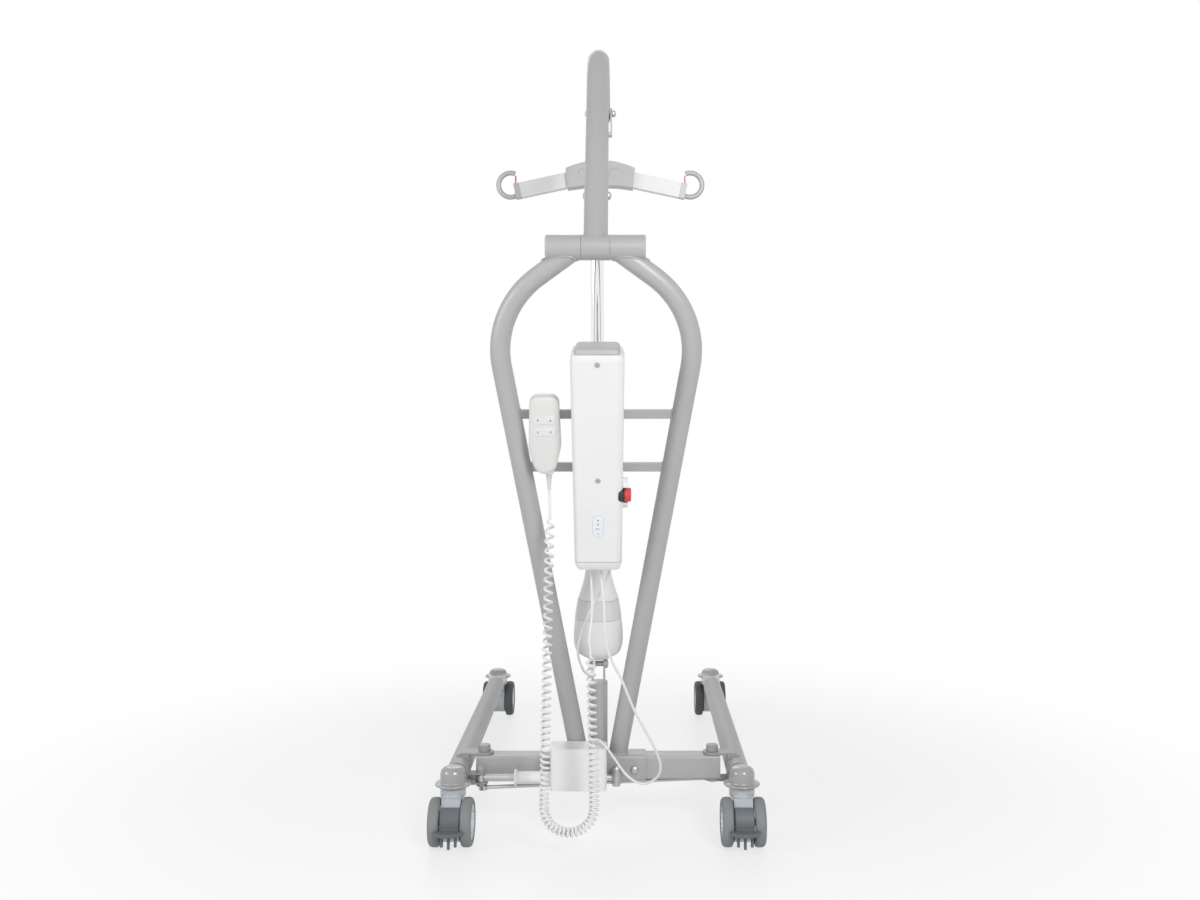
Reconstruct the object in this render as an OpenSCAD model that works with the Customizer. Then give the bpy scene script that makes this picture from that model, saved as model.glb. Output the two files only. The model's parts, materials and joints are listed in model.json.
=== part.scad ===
// Mobile patient lift: a two-tube mast on a base with spreading legs, a lifting
// boom with a spreader bar, a control box with a battery, and a corded handset.
// +X is to the right seen from behind, +Y is forward, +Z is up. The origin lies
// on the floor, in the middle of the length and the width. Millimetres.

/* [Casters] */
// Diameter of the caster wheels
wheel_d = 100; // [80:1:110]
// Width of each caster wheel
wheel_w = 23; // [18:1:26]
// Gap between the two wheels of a caster
wheel_gap = 44; // [38:1:50]
// Distance from the swivel axis to the wheel axis
caster_trail = 25; // [20:1:32]
// Diameter of the swivel neck
neck_d = 54; // [46:1:58]
// Height of the neck's top above the floor
neck_top = 118; // [116:1:122]
// Diameter of the round bumper plate over each caster
bumper_d = 78; // [70:1:90]
// Thickness of the bumper plate
bumper_t = 6; // [4:0.5:7]
// Diameter of the caster's stem
stem_d = 16; // [12:1:20]
// Diameter of the wheel axle
axle_d = 12; // [8:1:14]

/* [Legs] */
// Distance from the rear to the front swivel axes along a leg
wheelbase = 1100; // [900:10:1200]
// Distance from the leg pivot back to the rear swivel axis
rear_overhang = 106; // [100:1:130]
// Outer diameter of the leg tube
leg_d = 48; // [42:1:50]
// Wall of the leg tube
leg_wall = 2.5; // [1.5:0.1:4]
// Distance from the leg pivot out to the leg tube's axis
leg_offset = 52; // [51:0.5:60]
// How far each leg points outwards at rest, in degrees
leg_splay = 1; // [0:0.1:2]
// Height of the leg tube's axis at its front end
leg_front_z = 112; // [110:1:118]
// Length of the front casting, from the end of the tube to the swivel axis
front_casting = 88; // [86:1:100]
// How far the rear swivel axis lies outside the tube's axis
rear_swivel_out = 4; // [0:0.5:6]
// Height of the rear casting's top
rear_dome_z = 159; // [157:1:164]
// Height of the front casting's top
front_dome_z = 143; // [143:1:150]

/* [Base] */
// Distance between the two leg pivots
pivot_span = 496; // [460:1:540]
// Side of the square base beam
beam_side = 50; // [46:1:54]
// Wall of the base beam
beam_wall = 3; // [2:0.1:4]
// Height of the beam's middle
beam_z = 132; // [131:0.5:134]
// How far the beam runs past each leg pivot
beam_past = 16; // [14:1:18]
// Wall of the square sleeve in the middle of the beam
sleeve_wall = 4; // [3:0.1:6]
// Length of the sleeve
sleeve_len = 206; // [190:1:240]
// Diameter of the leg pivot pins
pivot_d = 16; // [12:1:20]
// Thickness of the leg's lug plates
lug_t = 5; // [4:0.5:6]

/* [Leg actuator] */
// Distance from the leg pivot back to the actuator's pin
lever_arm = 56; // [54:1:60]
// How far the lever's pin lies outside the leg pivot
lever_out = 4; // [0:0.5:6]
// Distance of the leg actuator's pins across the base
actuator_reach = 290; // [280:1:300]
// Height of the leg actuator's axis
actuator_z = 120; // [119:0.5:121]
// Diameter of the leg actuator's rod
leg_rod_d = 16; // [12:1:17]
// Diameter of the leg actuator's tube
leg_tube_d = 27; // [24:0.5:29]
// Distance from each leg pivot to the tie rod's pin
tie_arm = 36; // [34:1:38]
// Diameter of the tie rod
tie_d = 8; // [6:0.5:9]
// Size of the leg actuator's motor case across, front to back and up
case_size = [119, 68, 88];
// Diameter of the leg actuator's pins
lever_pin_d = 10; // [8:0.5:11]

/* [Mast] */
// How far the mast leans back, in degrees
mast_lean = 16.8; // [14:0.1:18]
// Outer diameter of the mast tubes
mast_d = 40; // [34:1:42]
// Wall of the mast tubes
mast_wall = 2; // [1.5:0.1:4]
// Distance from the middle to each mast tube's axis at its foot
mast_foot_x = 42.5; // [42:0.5:46]
// How far each mast tube opens outwards, in degrees
mast_flare = 9.42; // [8:0.01:11]
// Length of each mast tube's straight end at the head, past the bend
mast_tail = 95.46; // [90:0.01:100]
// Radius of the bend at the shoulders
mast_bend_r = 185; // [160:1:200]
// Angle of the bend at the shoulders
mast_bend = 63.4; // [61:0.1:66]
// Distances of the two cross bars up the mast
bar_u = [658.5, 770];
// Height and thickness of the cross bars
bar_size = [18, 8];

/* [Head] */
// Distance up the mast from its foot to the boom's pivot
head_u = 1103; // [1096:0.5:1108]
// Outer diameter of the sleeves and the hub
head_d = 49; // [49:0.5:52]
// Width of the boom's hub
hub_w = 55; // [50:1:60]
// Distance from the middle to the outer end of the sleeves
sleeve_end = 92.5; // [88:0.5:100]
// Diameter of the hub shaft
shaft_d = 25; // [20:1:30]
// Wall of the hub's bush
bush_wall = 3; // [2:0.5:4]
// Thickness of the end caps
cap_t = 4; // [3:0.5:6]

/* [Boom] */
// Outer diameter of the boom tube
boom_d = 47.5; // [44:0.5:48]
// Wall of the boom tube
boom_wall = 2.5; // [1.5:0.1:4]
// How steeply the boom rises from its hub at rest, in degrees
boom_rise = 56.5; // [54:0.5:58]
// Length of the boom's straight lower part, from the hub's axis
boom_run = 480; // [440:1:500]
// Radius of the boom's bend
boom_bend_r = 150; // [130:1:170]
// Angle of the boom's bend
boom_bend = 76.5; // [70:0.5:80]
// Length from the bend to the tip pin
boom_tip = 155; // [140:1:180]
// Diameter of the tip pin
tip_pin_d = 12; // [10:0.5:14]

/* [Lift actuator] */
// Height of the lift actuator's foot pin
foot_z = 352; // [345:1:358]
// How far the foot pin lies in front of the beam's middle
foot_ahead = 4; // [0:1:6]
// Distance along the boom from the hub to the rod's pin
rod_pin_along = 195; // [185:1:205]
// Distance from the boom's axis down to the rod's pin
rod_pin_below = 61; // [58:1:66]
// Diameter of the lift rod
lift_rod_d = 28; // [24:1:30]
// Outer diameter of the lift actuator's tube
lift_tube_d = 50; // [46:1:54]
// Length of the rod that shows at rest, from the tube to the rod's pin
rod_shown = 318; // [305:1:330]
// Diameter of the actuator's pins
lift_pin_d = 12; // [10:0.5:14]
// Outer diameter of the post that carries the lift actuator
post_d = 40; // [36:1:42]
// Width of the lift motor's housing
motor_w = 107; // [100:1:112]
// Depth of the lift motor's housing
motor_depth = 84; // [76:1:90]
// Height of the lift motor's housing
motor_h = 212; // [200:1:220]

/* [Spreader] */
// Distance from the tip pin down to the middle of the spreader
hang = 149; // [140:1:160]
// Distance from the middle to each hook's centre
hook_x = 215; // [205:1:225]
// Radius of the hook's centre line
hook_r = 29; // [27:0.5:32]
// Thickness of the hook
hook_wire = 12; // [10:0.5:13]
// Height of the spreader's arms
arm_h = 36; // [32:1:38]
// Depth of the spreader's arms
arm_w = 22; // [18:1:26]
// How steeply the arms fall outwards, in degrees
arm_fall = 12.1; // [10:0.1:14]
// Half the length of the middle cover
cover_half = 83; // [78:1:88]
// Depth of the middle cover
cover_depth = 42; // [38:1:46]
// Diameter of the swivel stem
swivel_d = 20; // [16:1:22]

/* [Control box] */
// Width of the box at its top
box_w_top = 104; // [98:1:108]
// Width of the box at its foot
box_w_foot = 94; // [88:1:98]
// Distance up the mast to the box's foot
box_u = 473; // [465:1:480]
// Length of the box
box_len = 440; // [430:1:450]
// Depth of the box
box_depth = 86; // [80:1:90]
// Gap between the cross bars' backs and the box
box_gap = 10; // [8:0.5:12]
// Wall of the box
box_wall = 3; // [2.5:0.1:4]
// Radius of the box's corners
box_r = 12; // [9:0.5:14]
// Distance from the box's top to where its edge starts to round
box_round = 12; // [8:1:16]

/* [Handset] */
// Width of the handset
hand_w = 64; // [60:1:68]
// Length of the handset
hand_len = 160; // [150:1:165]
// Thickness of the handset
hand_t = 28; // [24:1:30]
// Sideways place of the handset's middle
hand_x = -102; // [-106:1:-98]
// Distance up the mast to the handset's foot
hand_u = 657; // [650:1:664]

/* [Cords] */
// Diameter of the cords
cord_d = 5.3; // [4.5:0.1:5.6]
// Outer diameter of the curls
curl_d = 21; // [19:0.5:22]
// Curls in the run from the handset, in the bend and in the run to the box
curls = [40, 18, 24];

/* [Hidden] */

$fn = 64;
running = 0.05;
gap = 0.3;
hair = 0.04;
slice = 1;
far = 2000;

// Places that follow from the sizes above
wheel_r = wheel_d / 2;
front_reach = wheelbase - rear_overhang;
pivot_x = pivot_span / 2;
mast_foot_z = beam_z + beam_side / 2 + 1;
sleeve_side = beam_side + 2 * sleeve_wall;
sleeve_top = beam_z + sleeve_side / 2;
box_t = bar_size[1] / 2 + box_gap;
front_axis = [leg_offset * cos(leg_splay) + front_reach * sin(leg_splay),
              front_reach * cos(leg_splay) - leg_offset * sin(leg_splay)];
ahead_of_beam = front_axis[1] + caster_trail + wheel_r;
behind_beam = (box_u + box_len - box_round + slice) * sin(mast_lean)
              + (box_t + box_depth) * cos(mast_lean);
beam_y = (behind_beam - ahead_of_beam) / 2;
mast_in = mast_bend - mast_flare;
mast_run = (head_u - mast_tail * cos(mast_in) - mast_bend_r * (sin(mast_flare) + sin(mast_in)))
           / cos(mast_flare);
leg_slope = atan((beam_z - leg_front_z) / (front_reach - front_casting));
head_y = beam_y - head_u * sin(mast_lean);
head_z = mast_foot_z + head_u * cos(mast_lean);
boom_dir = [cos(boom_rise), sin(boom_rise)];
boom_down = [sin(boom_rise), -cos(boom_rise)];
bend_mid = [head_y, head_z] + boom_run * boom_dir + boom_bend_r * boom_down;
tip_rise = boom_rise - boom_bend;
tip_past = 20;
tip_at = bend_mid + boom_bend_r * [-sin(tip_rise), cos(tip_rise)]
         + boom_tip * [cos(tip_rise), sin(tip_rise)];
rod_pin = [head_y, head_z] + rod_pin_along * boom_dir + rod_pin_below * boom_down;
foot_pin = [beam_y + foot_ahead, foot_z];
lift_len = norm(rod_pin - foot_pin);
lift_lean = atan2(foot_pin[0] - rod_pin[0], rod_pin[1] - foot_pin[1]);
spreader_z = tip_at[1] - hang;
bumper_z = neck_top + 1;
ear_x = boom_d / 2 + 0.4;
ear_t = 4;

// Helpers for shapes that repeat

module mirrored() { children(); mirror([1, 0, 0]) children(); }

module rounded_rect(w, h, r) {
    square([w - 2 * r, h], center = true);
    square([w, h - 2 * r], center = true);
    for (x = [-1, 1], y = [-1, 1])
        translate([x * (w / 2 - r), y * (h / 2 - r)]) circle(r);
}

module along_x(x0, x1) { translate([x0, 0, 0]) rotate([90, 0, 90]) linear_extrude(x1 - x0) children(); }

module rod_x(d, x0, x1) { translate([x0, 0, 0]) rotate([0, 90, 0]) cylinder(d = d, h = x1 - x0); }

// A round dome head of a bolt, its flat side on z = 0
module dome_head(d, h) {
    rim = h * 0.4;
    rotate_extrude() polygon(concat([[0, 0], [d / 2, 0]],
        [for (a = [0 : 15 : 75]) [d / 2 * cos(a), rim + (h - rim) * sin(a)]], [[0, h]]));
}

// Local frames: on the mast, on a leg, along the boom and along the lift actuator
module on_mast(u = 0, t = 0) {
    translate([0, beam_y, mast_foot_z]) rotate([mast_lean, 0, 0]) translate([0, -t, u]) children();
}
module on_leg() { translate([pivot_x, beam_y, 0]) rotate([0, 0, -leg_splay]) children(); }
module on_boom() { translate([0, head_y, head_z]) rotate([boom_rise, 0, 0]) children(); }
module on_lift() { translate([0, foot_pin[0], foot_pin[1]]) rotate([lift_lean, 0, 0]) children(); }
module on_spreader() { translate([0, tip_at[0], spreader_z]) children(); }
module at_rear_swivel() {
    on_leg() translate([leg_offset + rear_swivel_out, -rear_overhang, 0]) rotate([0, 0, leg_splay]) children();
}
module at_front_swivel() {
    on_leg() translate([leg_offset, front_reach, 0]) rotate([0, 0, leg_splay]) children();
}

// Base

module beam_block(side, len, r) {
    along_x(-len / 2, len / 2) translate([beam_y, beam_z]) rounded_rect(side, side, r);
}

bolt_d = 8;
bolt_inset = 25;
bolt_drop = 3;
module sleeve_bolt_holes() {
    mirrored() translate([sleeve_len / 2 - bolt_inset, beam_y, beam_z - bolt_drop])
        rotate([90, 0, 0]) cylinder(d = bolt_d, h = far, center = true);
}

module base_beam() {
    len = pivot_span + 2 * beam_past;
    color([0.68, 0.68, 0.67]) difference() {
        beam_block(beam_side, len, 5);
        beam_block(beam_side - 2 * beam_wall, len - 6, 3);
        mirrored() translate([pivot_x, beam_y, 0]) cylinder(d = pivot_d, h = far);
        sleeve_bolt_holes();
    }
}

module beam_sleeve() {
    color([0.7, 0.7, 0.69]) difference() {
        beam_block(sleeve_side, sleeve_len, 5 + sleeve_wall);
        beam_block(beam_side, far, 5);
        sleeve_bolt_holes();
    }
}

// The right bolt's head is at the back, the left one's in front of the beam
module sleeve_bolts() {
    color([0.62, 0.63, 0.64]) for (side = [-1, 1])
        translate([side * (sleeve_len / 2 - bolt_inset), beam_y - side * sleeve_side / 2, beam_z - bolt_drop])
            rotate([side * 90, 0, 0]) {
                dome_head(17, 7);
                translate([0, 0, -sleeve_side]) cylinder(d = bolt_d, h = sleeve_side);
            }
}

module leg_pivot_pins() {
    top = beam_z + beam_side / 2 + 0.5 + lug_t + gap;
    foot = beam_z - beam_side / 2 - 0.5 - lug_t - gap;
    color([0.66, 0.67, 0.68]) mirrored() translate([pivot_x, beam_y, 0]) {
        translate([0, 0, foot]) cylinder(d = pivot_d, h = top - foot);
        translate([0, 0, top]) cylinder(d = 26, h = 12.5);
        translate([0, 0, top + 12.5]) cylinder(d1 = 26, d2 = 23, h = 1.5);
        translate([0, 0, foot - 3]) cylinder(d = 24, h = 3);
    }
}

module actuator_post() {
    plate_foot = foot_z - 42;
    color([0.66, 0.66, 0.65]) difference() {
        union() {
            translate([0, foot_pin[0], sleeve_top]) cylinder(d = post_d, h = plate_foot + 4 - sleeve_top);
            mirrored() translate([10.5, foot_pin[0], 0]) {
                translate([0, -13, plate_foot]) cube([4.5, 26, foot_z - plate_foot]);
                translate([0, 0, foot_z]) rod_x(26, 0, 4.5);
            }
            mirrored() translate([15, foot_pin[0], foot_z]) rotate([0, 90, 0]) dome_head(20, 7);
            translate([0, foot_pin[0], foot_z]) rod_x(lift_pin_d, -15, 15);
        }
        translate([0, foot_pin[0], sleeve_top - 1]) cylinder(d = post_d - 6, h = plate_foot - 4 - sleeve_top);
    }
}

// Mast

function tube_x(u) = mast_foot_x + u * tan(mast_flare);

// A tube's section, and a straight length of it along z
module tube_section(d, wall) { difference() { circle(d = d); circle(d = d - 2 * wall); } }
module pipe(d, wall, len) { linear_extrude(len) tube_section(d, wall); }

// A bent length around z, drawn a hair slimmer where it meets the straight ones
module pipe_bend(d, wall, r, turn) {
    rotate_extrude(angle = turn) translate([r, 0]) tube_section(d - hair, wall - hair);
}

// A pipe along z that then bends towards -x and runs straight on
module bent_pipe(d, wall, run, r, turn, tail) {
    pipe(d, wall, run + hair);
    translate([-r, 0, run]) rotate([90, 0, 0]) {
        pipe_bend(d, wall, r, turn);
        rotate([0, 0, turn]) translate([r, -hair, 0]) rotate([-90, 0, 0]) pipe(d, wall, tail + hair);
    }
}

foot_run = 25;
module mast_path() {
    rotate([0, mast_flare, 0]) translate([0, 0, -foot_run])
        bent_pipe(mast_d, mast_wall, foot_run + mast_run, mast_bend_r, mast_bend, mast_tail);
}

module mast_tube() {
    difference() {
        on_mast() translate([mast_foot_x, 0, 0]) mast_path();
        translate([-far / 2, -far / 2, sleeve_top - far]) cube(far);
        translate([0, head_y, head_z]) rod_x(head_d, -far / 2, far / 2);
    }
}

module mast_tube_right() { color([0.8, 0.8, 0.79]) mast_tube(); }
module mast_tube_left() { color([0.8, 0.8, 0.79]) mirror([1, 0, 0]) mast_tube(); }

module cross_bars() {
    color([0.74, 0.74, 0.73]) for (u = bar_u) difference() {
        on_mast(u) cube([2 * tube_x(u), bar_size[1], bar_size[0]], center = true);
        mirrored() on_mast() translate([mast_foot_x, 0, 0])
            rotate([0, mast_flare, 0]) cylinder(d = mast_d, h = mast_run);
    }
}

// Head

module head_sleeves() {
    inner = hub_w / 2 + 0.5;
    color([0.8, 0.8, 0.79]) mirrored() translate([0, head_y, head_z]) difference() {
        rod_x(head_d, inner, sleeve_end);
        rod_x(shaft_d, 0, far);
    }
}

module hub_shaft() {
    color([0.75, 0.76, 0.77]) translate([0, head_y, head_z]) rod_x(shaft_d, -sleeve_end, sleeve_end);
}

module head_caps() {
    color([0.72, 0.73, 0.74]) mirrored() translate([sleeve_end, head_y, head_z]) rotate([0, 90, 0])
        rotate_extrude() polygon([[0, 0], [head_d / 2, 0], [head_d / 2, cap_t - 2],
                                  [head_d / 2 - 2, cap_t], [0, cap_t]]);
}

module boom_hub() {
    color([0.8, 0.8, 0.79]) translate([0, head_y, head_z]) difference() {
        rod_x(head_d, -hub_w / 2, hub_w / 2);
        rod_x(shaft_d + 2 * bush_wall, -far / 2, far / 2);
    }
}

module hub_bushes() {
    color([0.9, 0.9, 0.86]) translate([0, head_y, head_z]) difference() {
        rod_x(shaft_d + 2 * bush_wall, -hub_w / 2, hub_w / 2);
        rod_x(shaft_d + 2 * running, -far / 2, far / 2);
    }
}

// Boom, with its straight parts and its bend in the plane x = 0

module boom_path() {
    on_boom() rotate([-90, 0, 0]) rotate([0, 0, -90])
        bent_pipe(boom_d, boom_wall, boom_run, boom_bend_r, boom_bend, boom_tip + tip_past);
}

module rod_lugs() {
    on_boom() difference() {
        mirrored() along_x(15.3, 19.3) {
            translate([rod_pin_along, -rod_pin_below]) circle(d = 32);
            polygon([[rod_pin_along - 52, -boom_d / 4], [rod_pin_along + 52, -boom_d / 4],
                     [rod_pin_along + 14, -rod_pin_below - 7], [rod_pin_along - 14, -rod_pin_below - 7]]);
        }
        rotate([-90, 0, 0]) cylinder(d = boom_d - 1, h = boom_run);
        translate([0, rod_pin_along, -rod_pin_below]) rod_x(lift_pin_d, -far / 2, far / 2);
    }
}

module boom_tube() {
    color([0.78, 0.78, 0.77]) difference() {
        union() { boom_path(); rod_lugs(); }
        translate([0, head_y, head_z]) rod_x(head_d, -far / 2, far / 2);
        translate([0, tip_at[0], tip_at[1]]) rod_x(tip_pin_d, -far / 2, far / 2);
    }
}

module boom_pins() {
    color([0.8, 0.81, 0.82]) {
        translate([0, tip_at[0], tip_at[1]]) {
            rod_x(tip_pin_d, -ear_x - ear_t - 0.6, ear_x + ear_t + 0.6);
            mirrored() translate([ear_x + ear_t + 0.6, 0, 0]) rotate([0, 90, 0]) dome_head(17, 9);
        }
        mirrored() translate([0, rod_pin[0], rod_pin[1]]) {
            rod_x(lift_pin_d, 15.3, 20);
            translate([19.3, 0, 0]) rotate([0, 90, 0]) dome_head(18, 10.5);
        }
        on_boom() translate([0, boom_run, -boom_bend_r]) rotate([-boom_bend, 0, 0])
            translate([0, boom_tip + tip_past, boom_bend_r]) rotate([-90, 0, 0]) rotate_extrude()
                polygon([[0, -10], [boom_d / 2 - boom_wall, -10], [boom_d / 2 - boom_wall, 0],
                         [boom_d / 2, 0], [boom_d / 2 - 1, 3], [boom_d / 2 - 5, 6], [0, 7]]);
    }
}

// Lift actuator, its local z axis from the foot pin to the rod's pin

// Width and depth of the motor housing at a share of its height
motor_levels = [[0, 0.5, 0.62], [0.1, 0.9, 0.9], [0.19, 1, 1], [0.45, 0.86, 0.95], [0.75, 0.62, 0.86],
                [1, 0.52, 0.72]];

// Height of the motor housing's lower end over the foot pin
motor_foot = 16;
module motor_shape(in) {
    for (i = [0 : len(motor_levels) - 2]) hull() for (k = [i, i + 1]) {
        l = motor_levels[k];
        end = k == 0 ? in : (k == len(motor_levels) - 1 ? -in - 3 : 0);
        translate([0, 0, motor_foot + l[0] * motor_h + end])
            scale([motor_w * l[1] / 2 - in, motor_depth * l[2] / 2 - in, 1]) cylinder(r = 1, h = 1, $fn = 40);
    }
}

module lift_motor_housing() {
    color([0.92, 0.92, 0.92]) on_lift() difference() {
        union() {
            translate([0, -4, 0]) motor_shape(0);
            rod_x(26, -10, 10);
            translate([-10, -13, 0]) cube([20, 26, 20]);
        }
        translate([0, 0, 62]) cylinder(d = lift_tube_d - 10, h = far);
        translate([-9, -28, -30]) cylinder(d = 13, h = 60);
        rod_x(lift_pin_d + 2 * running, -far / 2, far / 2);
    }
}

module lift_tube() {
    foot = motor_foot + motor_h + 1 + gap;
    top = lift_len - rod_shown;
    color([0.9, 0.9, 0.9]) on_lift() difference() {
        union() {
            translate([0, 0, foot]) cylinder(d = lift_tube_d, h = top - foot);
            translate([0, 0, 64]) cylinder(d = lift_tube_d - 10.6, h = motor_h);
            translate([0, 0, top - 12]) cylinder(d = lift_tube_d + 5, h = 14);
        }
        translate([0, 0, 68]) cylinder(d = lift_rod_d + 2 * running, h = far);
    }
}

// Length of the rod that stays inside the tube at rest
rod_inside = 300;
module lift_rod() {
    color([0.86, 0.87, 0.88]) on_lift() {
        translate([0, 0, lift_len - rod_shown - rod_inside])
            cylinder(d = lift_rod_d, h = rod_shown + rod_inside - 4);
        translate([0, 0, lift_len]) rod_x(32, -15, 15);
    }
}

// Hanger and spreader

module hanger() {
    ear_top = hang;
    bridge = hang - 46;
    color([0.75, 0.76, 0.77]) on_spreader() {
        difference() {
            union() {
                mirrored() translate([ear_x, 0, 0]) {
                    translate([0, 0, ear_top]) rod_x(26, 0, ear_t);
                    translate([0, -13, bridge - 8]) cube([ear_t, 26, ear_top - bridge + 8]);
                }
                translate([-ear_x - ear_t, -13, bridge - 8]) cube([2 * (ear_x + ear_t), 26, 8]);
            }
            translate([0, 0, ear_top]) rod_x(tip_pin_d + 2 * running, -far / 2, far / 2);
        }
        translate([0, 0, -8]) cylinder(d = swivel_d, h = bridge + 4);
        translate([0, 0, -16]) cylinder(d = 30, h = 8, $fn = 6);
        translate([0, 0, 42]) cylinder(d = 32, h = 6);
    }
}

// Outline of the middle cover, drawn in by a wall
module cover_outline(in) {
    w = cover_half - in * 0.4;
    polygon([[-w, 15 - in], [-w * 0.72, 24 - in], [-w * 0.4, 31 - in], [0, 33.5 - in], [w * 0.4, 31 - in],
             [w * 0.72, 24 - in], [w, 15 - in], [w * 0.94, -32 + in], [w * 0.5, -27 + in],
             [0, -26 + in], [-w * 0.5, -27 + in], [-w * 0.94, -32 + in]]);
}

// A point of the right arm: its distance along the arm, and its height over the arm's axis
arm_axis_z = 5.5;
arm_wall = 2.5;
function arm_point(l, s) = [l * cos(arm_fall) + s * sin(arm_fall),
                            arm_axis_z - l * sin(arm_fall) + s * cos(arm_fall)];
function arm_at_x(x, s) = arm_point((x - s * sin(arm_fall)) / cos(arm_fall), s);

// Right half of the arms' outline, from the bottom round to the top of the middle block
block_half = 16;
block_top = 25;
function arm_side(len) = [arm_at_x(0, -arm_h / 2), arm_point(len, -arm_h / 2), arm_point(len, arm_h / 2),
                          arm_at_x(block_half, arm_h / 2), [block_half, block_top]];
function mirror_points(points) = [for (i = [len(points) - 1 : -1 : 1]) [-points[i][0], points[i][1]]];

module arm_bar(len, side, depth) {
    mirrored() translate([0, 0, arm_axis_z]) rotate([0, arm_fall, 0]) translate([0, -depth / 2, -side / 2])
        cube([len, depth, side]);
}

module spreader_cover() {
    color([0.74, 0.75, 0.75]) on_spreader() difference() {
        rotate([90, 0, 0]) linear_extrude(cover_depth, center = true) cover_outline(0);
        rotate([90, 0, 0]) linear_extrude(cover_depth - 6, center = true) cover_outline(3);
        arm_bar(far, arm_h + 0.6, arm_w + 0.6);
        cylinder(d = 34, h = far);
        mirrored() for (y = [-1, 1]) translate([36, y * cover_depth / 2, 3]) rotate([90, 0, 0])
            linear_extrude(3, center = true) rounded_rect(34, 19, 9.4);
    }
}

module spreader_arms() {
    end = (hook_x - 15) / cos(arm_fall);
    color([0.9, 0.9, 0.91]) on_spreader() difference() {
        rotate([90, 0, 0]) linear_extrude(arm_w, center = true)
            polygon(concat(arm_side(end - 9), mirror_points(arm_side(end - 9))));
        mirrored() rotate([90, 0, 0]) linear_extrude(arm_w - 2 * arm_wall, center = true)
            polygon([arm_at_x(40, arm_wall - arm_h / 2), arm_point(far, arm_wall - arm_h / 2),
                     arm_point(far, arm_h / 2 - arm_wall), arm_at_x(40, arm_h / 2 - arm_wall)]);
        translate([0, 0, -far / 2]) cylinder(d = swivel_d + 2 * running, h = far);
        translate([0, 0, -20]) cylinder(d = 32, h = 12.2);
        translate([0, 0, 41.7]) cylinder(d = 40, h = 40);
    }
}

latch_foot = [hook_x - 12.5, -22];
latch_len = 25;

module hook_right() {
    end = (hook_x - 15) / cos(arm_fall);
    translate([hook_x, 0, -22]) rotate([90, 0, 0]) rotate([0, 0, -118])
        rotate_extrude(angle = 229) translate([hook_r, 0]) circle(d = hook_wire, $fn = 40);
    difference() {
        translate([0, 0, arm_axis_z]) rotate([0, arm_fall, 0])
            translate([end - 9, -arm_w / 2, -arm_h / 2]) cube([14, arm_w, arm_h]);
        translate([latch_foot[0], 0, latch_foot[1]]) rotate([90, 0, 0]) cylinder(d = 12, h = 11, center = true);
        translate([latch_foot[0] - 3, -5.5, latch_foot[1]]) cube([40, 11, 40]);
    }
    translate([latch_foot[0], 0, latch_foot[1]]) {
        for (y = [-1, 1]) translate([0, y * 7.25, 0]) rotate([90, 0, 0])
            cylinder(d = 10, h = 3.5, center = true);
        rotate([90, 0, 0]) cylinder(d = 4, h = 16, center = true);
    }
}

module spreader_hooks() { color([0.76, 0.77, 0.77]) on_spreader() mirrored() hook_right(); }

module latch() {
    translate([latch_foot[0], 0, latch_foot[1]]) difference() {
        union() {
            rotate([90, 0, 0]) cylinder(d = 8, h = 10, center = true);
            translate([-1.75, -5, 0]) cube([3.5, 10, latch_len - 5]);
            translate([0, 0, latch_len - 5]) rotate([90, 0, 0]) cylinder(d = 3.5, h = 10, center = true);
        }
        rotate([90, 0, 0]) cylinder(d = 4 + 2 * running, h = 20, center = true);
    }
}

module latch_right() { color([0.8, 0.2, 0.2]) on_spreader() latch(); }
module latch_left() { color([0.8, 0.2, 0.2]) on_spreader() mirror([1, 0, 0]) latch(); }

// Control box, in the mast's frame. It stands a little to the right of the mast's middle.
box_x = 3.8;

module box_plate(u, w, t0, t1, r, in) {
    translate([box_x, -(t0 + t1) / 2, u]) linear_extrude(slice)
        rounded_rect(w - 2 * in, t1 - t0 - 2 * in, r);
}

module box_shape(in) {
    t1 = box_t + box_depth;
    hull() {
        translate([0, 0, in]) box_plate(box_u, box_w_foot - 10, box_t + 3, t1 - 7, box_r - 3, in);
        box_plate(box_u + 14, box_w_foot, box_t, t1, box_r, in);
        box_plate(box_u + box_len - box_round, box_w_top, box_t, t1, box_r, in);
        translate([0, 0, -in])
            box_plate(box_u + box_len - slice, box_w_top - 8, box_t + 2, t1 - 4, box_r - 3, in);
    }
}

module box_split(front) {
    split = box_t + box_depth * 0.45;
    t = front ? split - far : split + gap;
    on_mast() translate([-far / 2, -t - far, -far / 2]) cube([far, far, 2 * far]);
}

module control_box_housing() {
    color([0.9, 0.9, 0.9]) intersection() {
        difference() {
            on_mast() box_shape(0);
            on_mast() box_shape(box_wall);
            box_hole_tools();
        }
        box_split(true);
    }
}

module control_box_cover() {
    color([0.94, 0.94, 0.94]) intersection() {
        difference() {
            on_mast() box_shape(0);
            on_mast() box_shape(box_wall);
            on_mast() box_seam();
            on_mast() display_recess();
            on_mast() stop_recess();
            box_hole_tools();
        }
        box_split(false);
    }
}

// The shallow groove that marks the lower cover's edge
module box_seam() {
    translate([-far / 2, -far - box_t - box_depth + 1, box_u + 18]) cube([far, far, 1.2]);
}

display_u = box_u + 95;
module display_recess() {
    translate([box_x, -box_t - box_depth, display_u]) rotate([90, 0, 0])
        linear_extrude(2.4, center = true) rounded_rect(21, 46, 10);
}

module display_panel() {
    color([0.82, 0.87, 0.92]) on_mast() translate([box_x, -box_t - box_depth + 1.2, display_u])
        rotate([90, 0, 0]) {
        linear_extrude(1) rounded_rect(20.6, 45.6, 9.8);
        for (z = [-13, -2, 9]) translate([0, z, 1]) cylinder(d = z == -2 ? 7 : 5.5, h = 0.8);
    }
}

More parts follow.
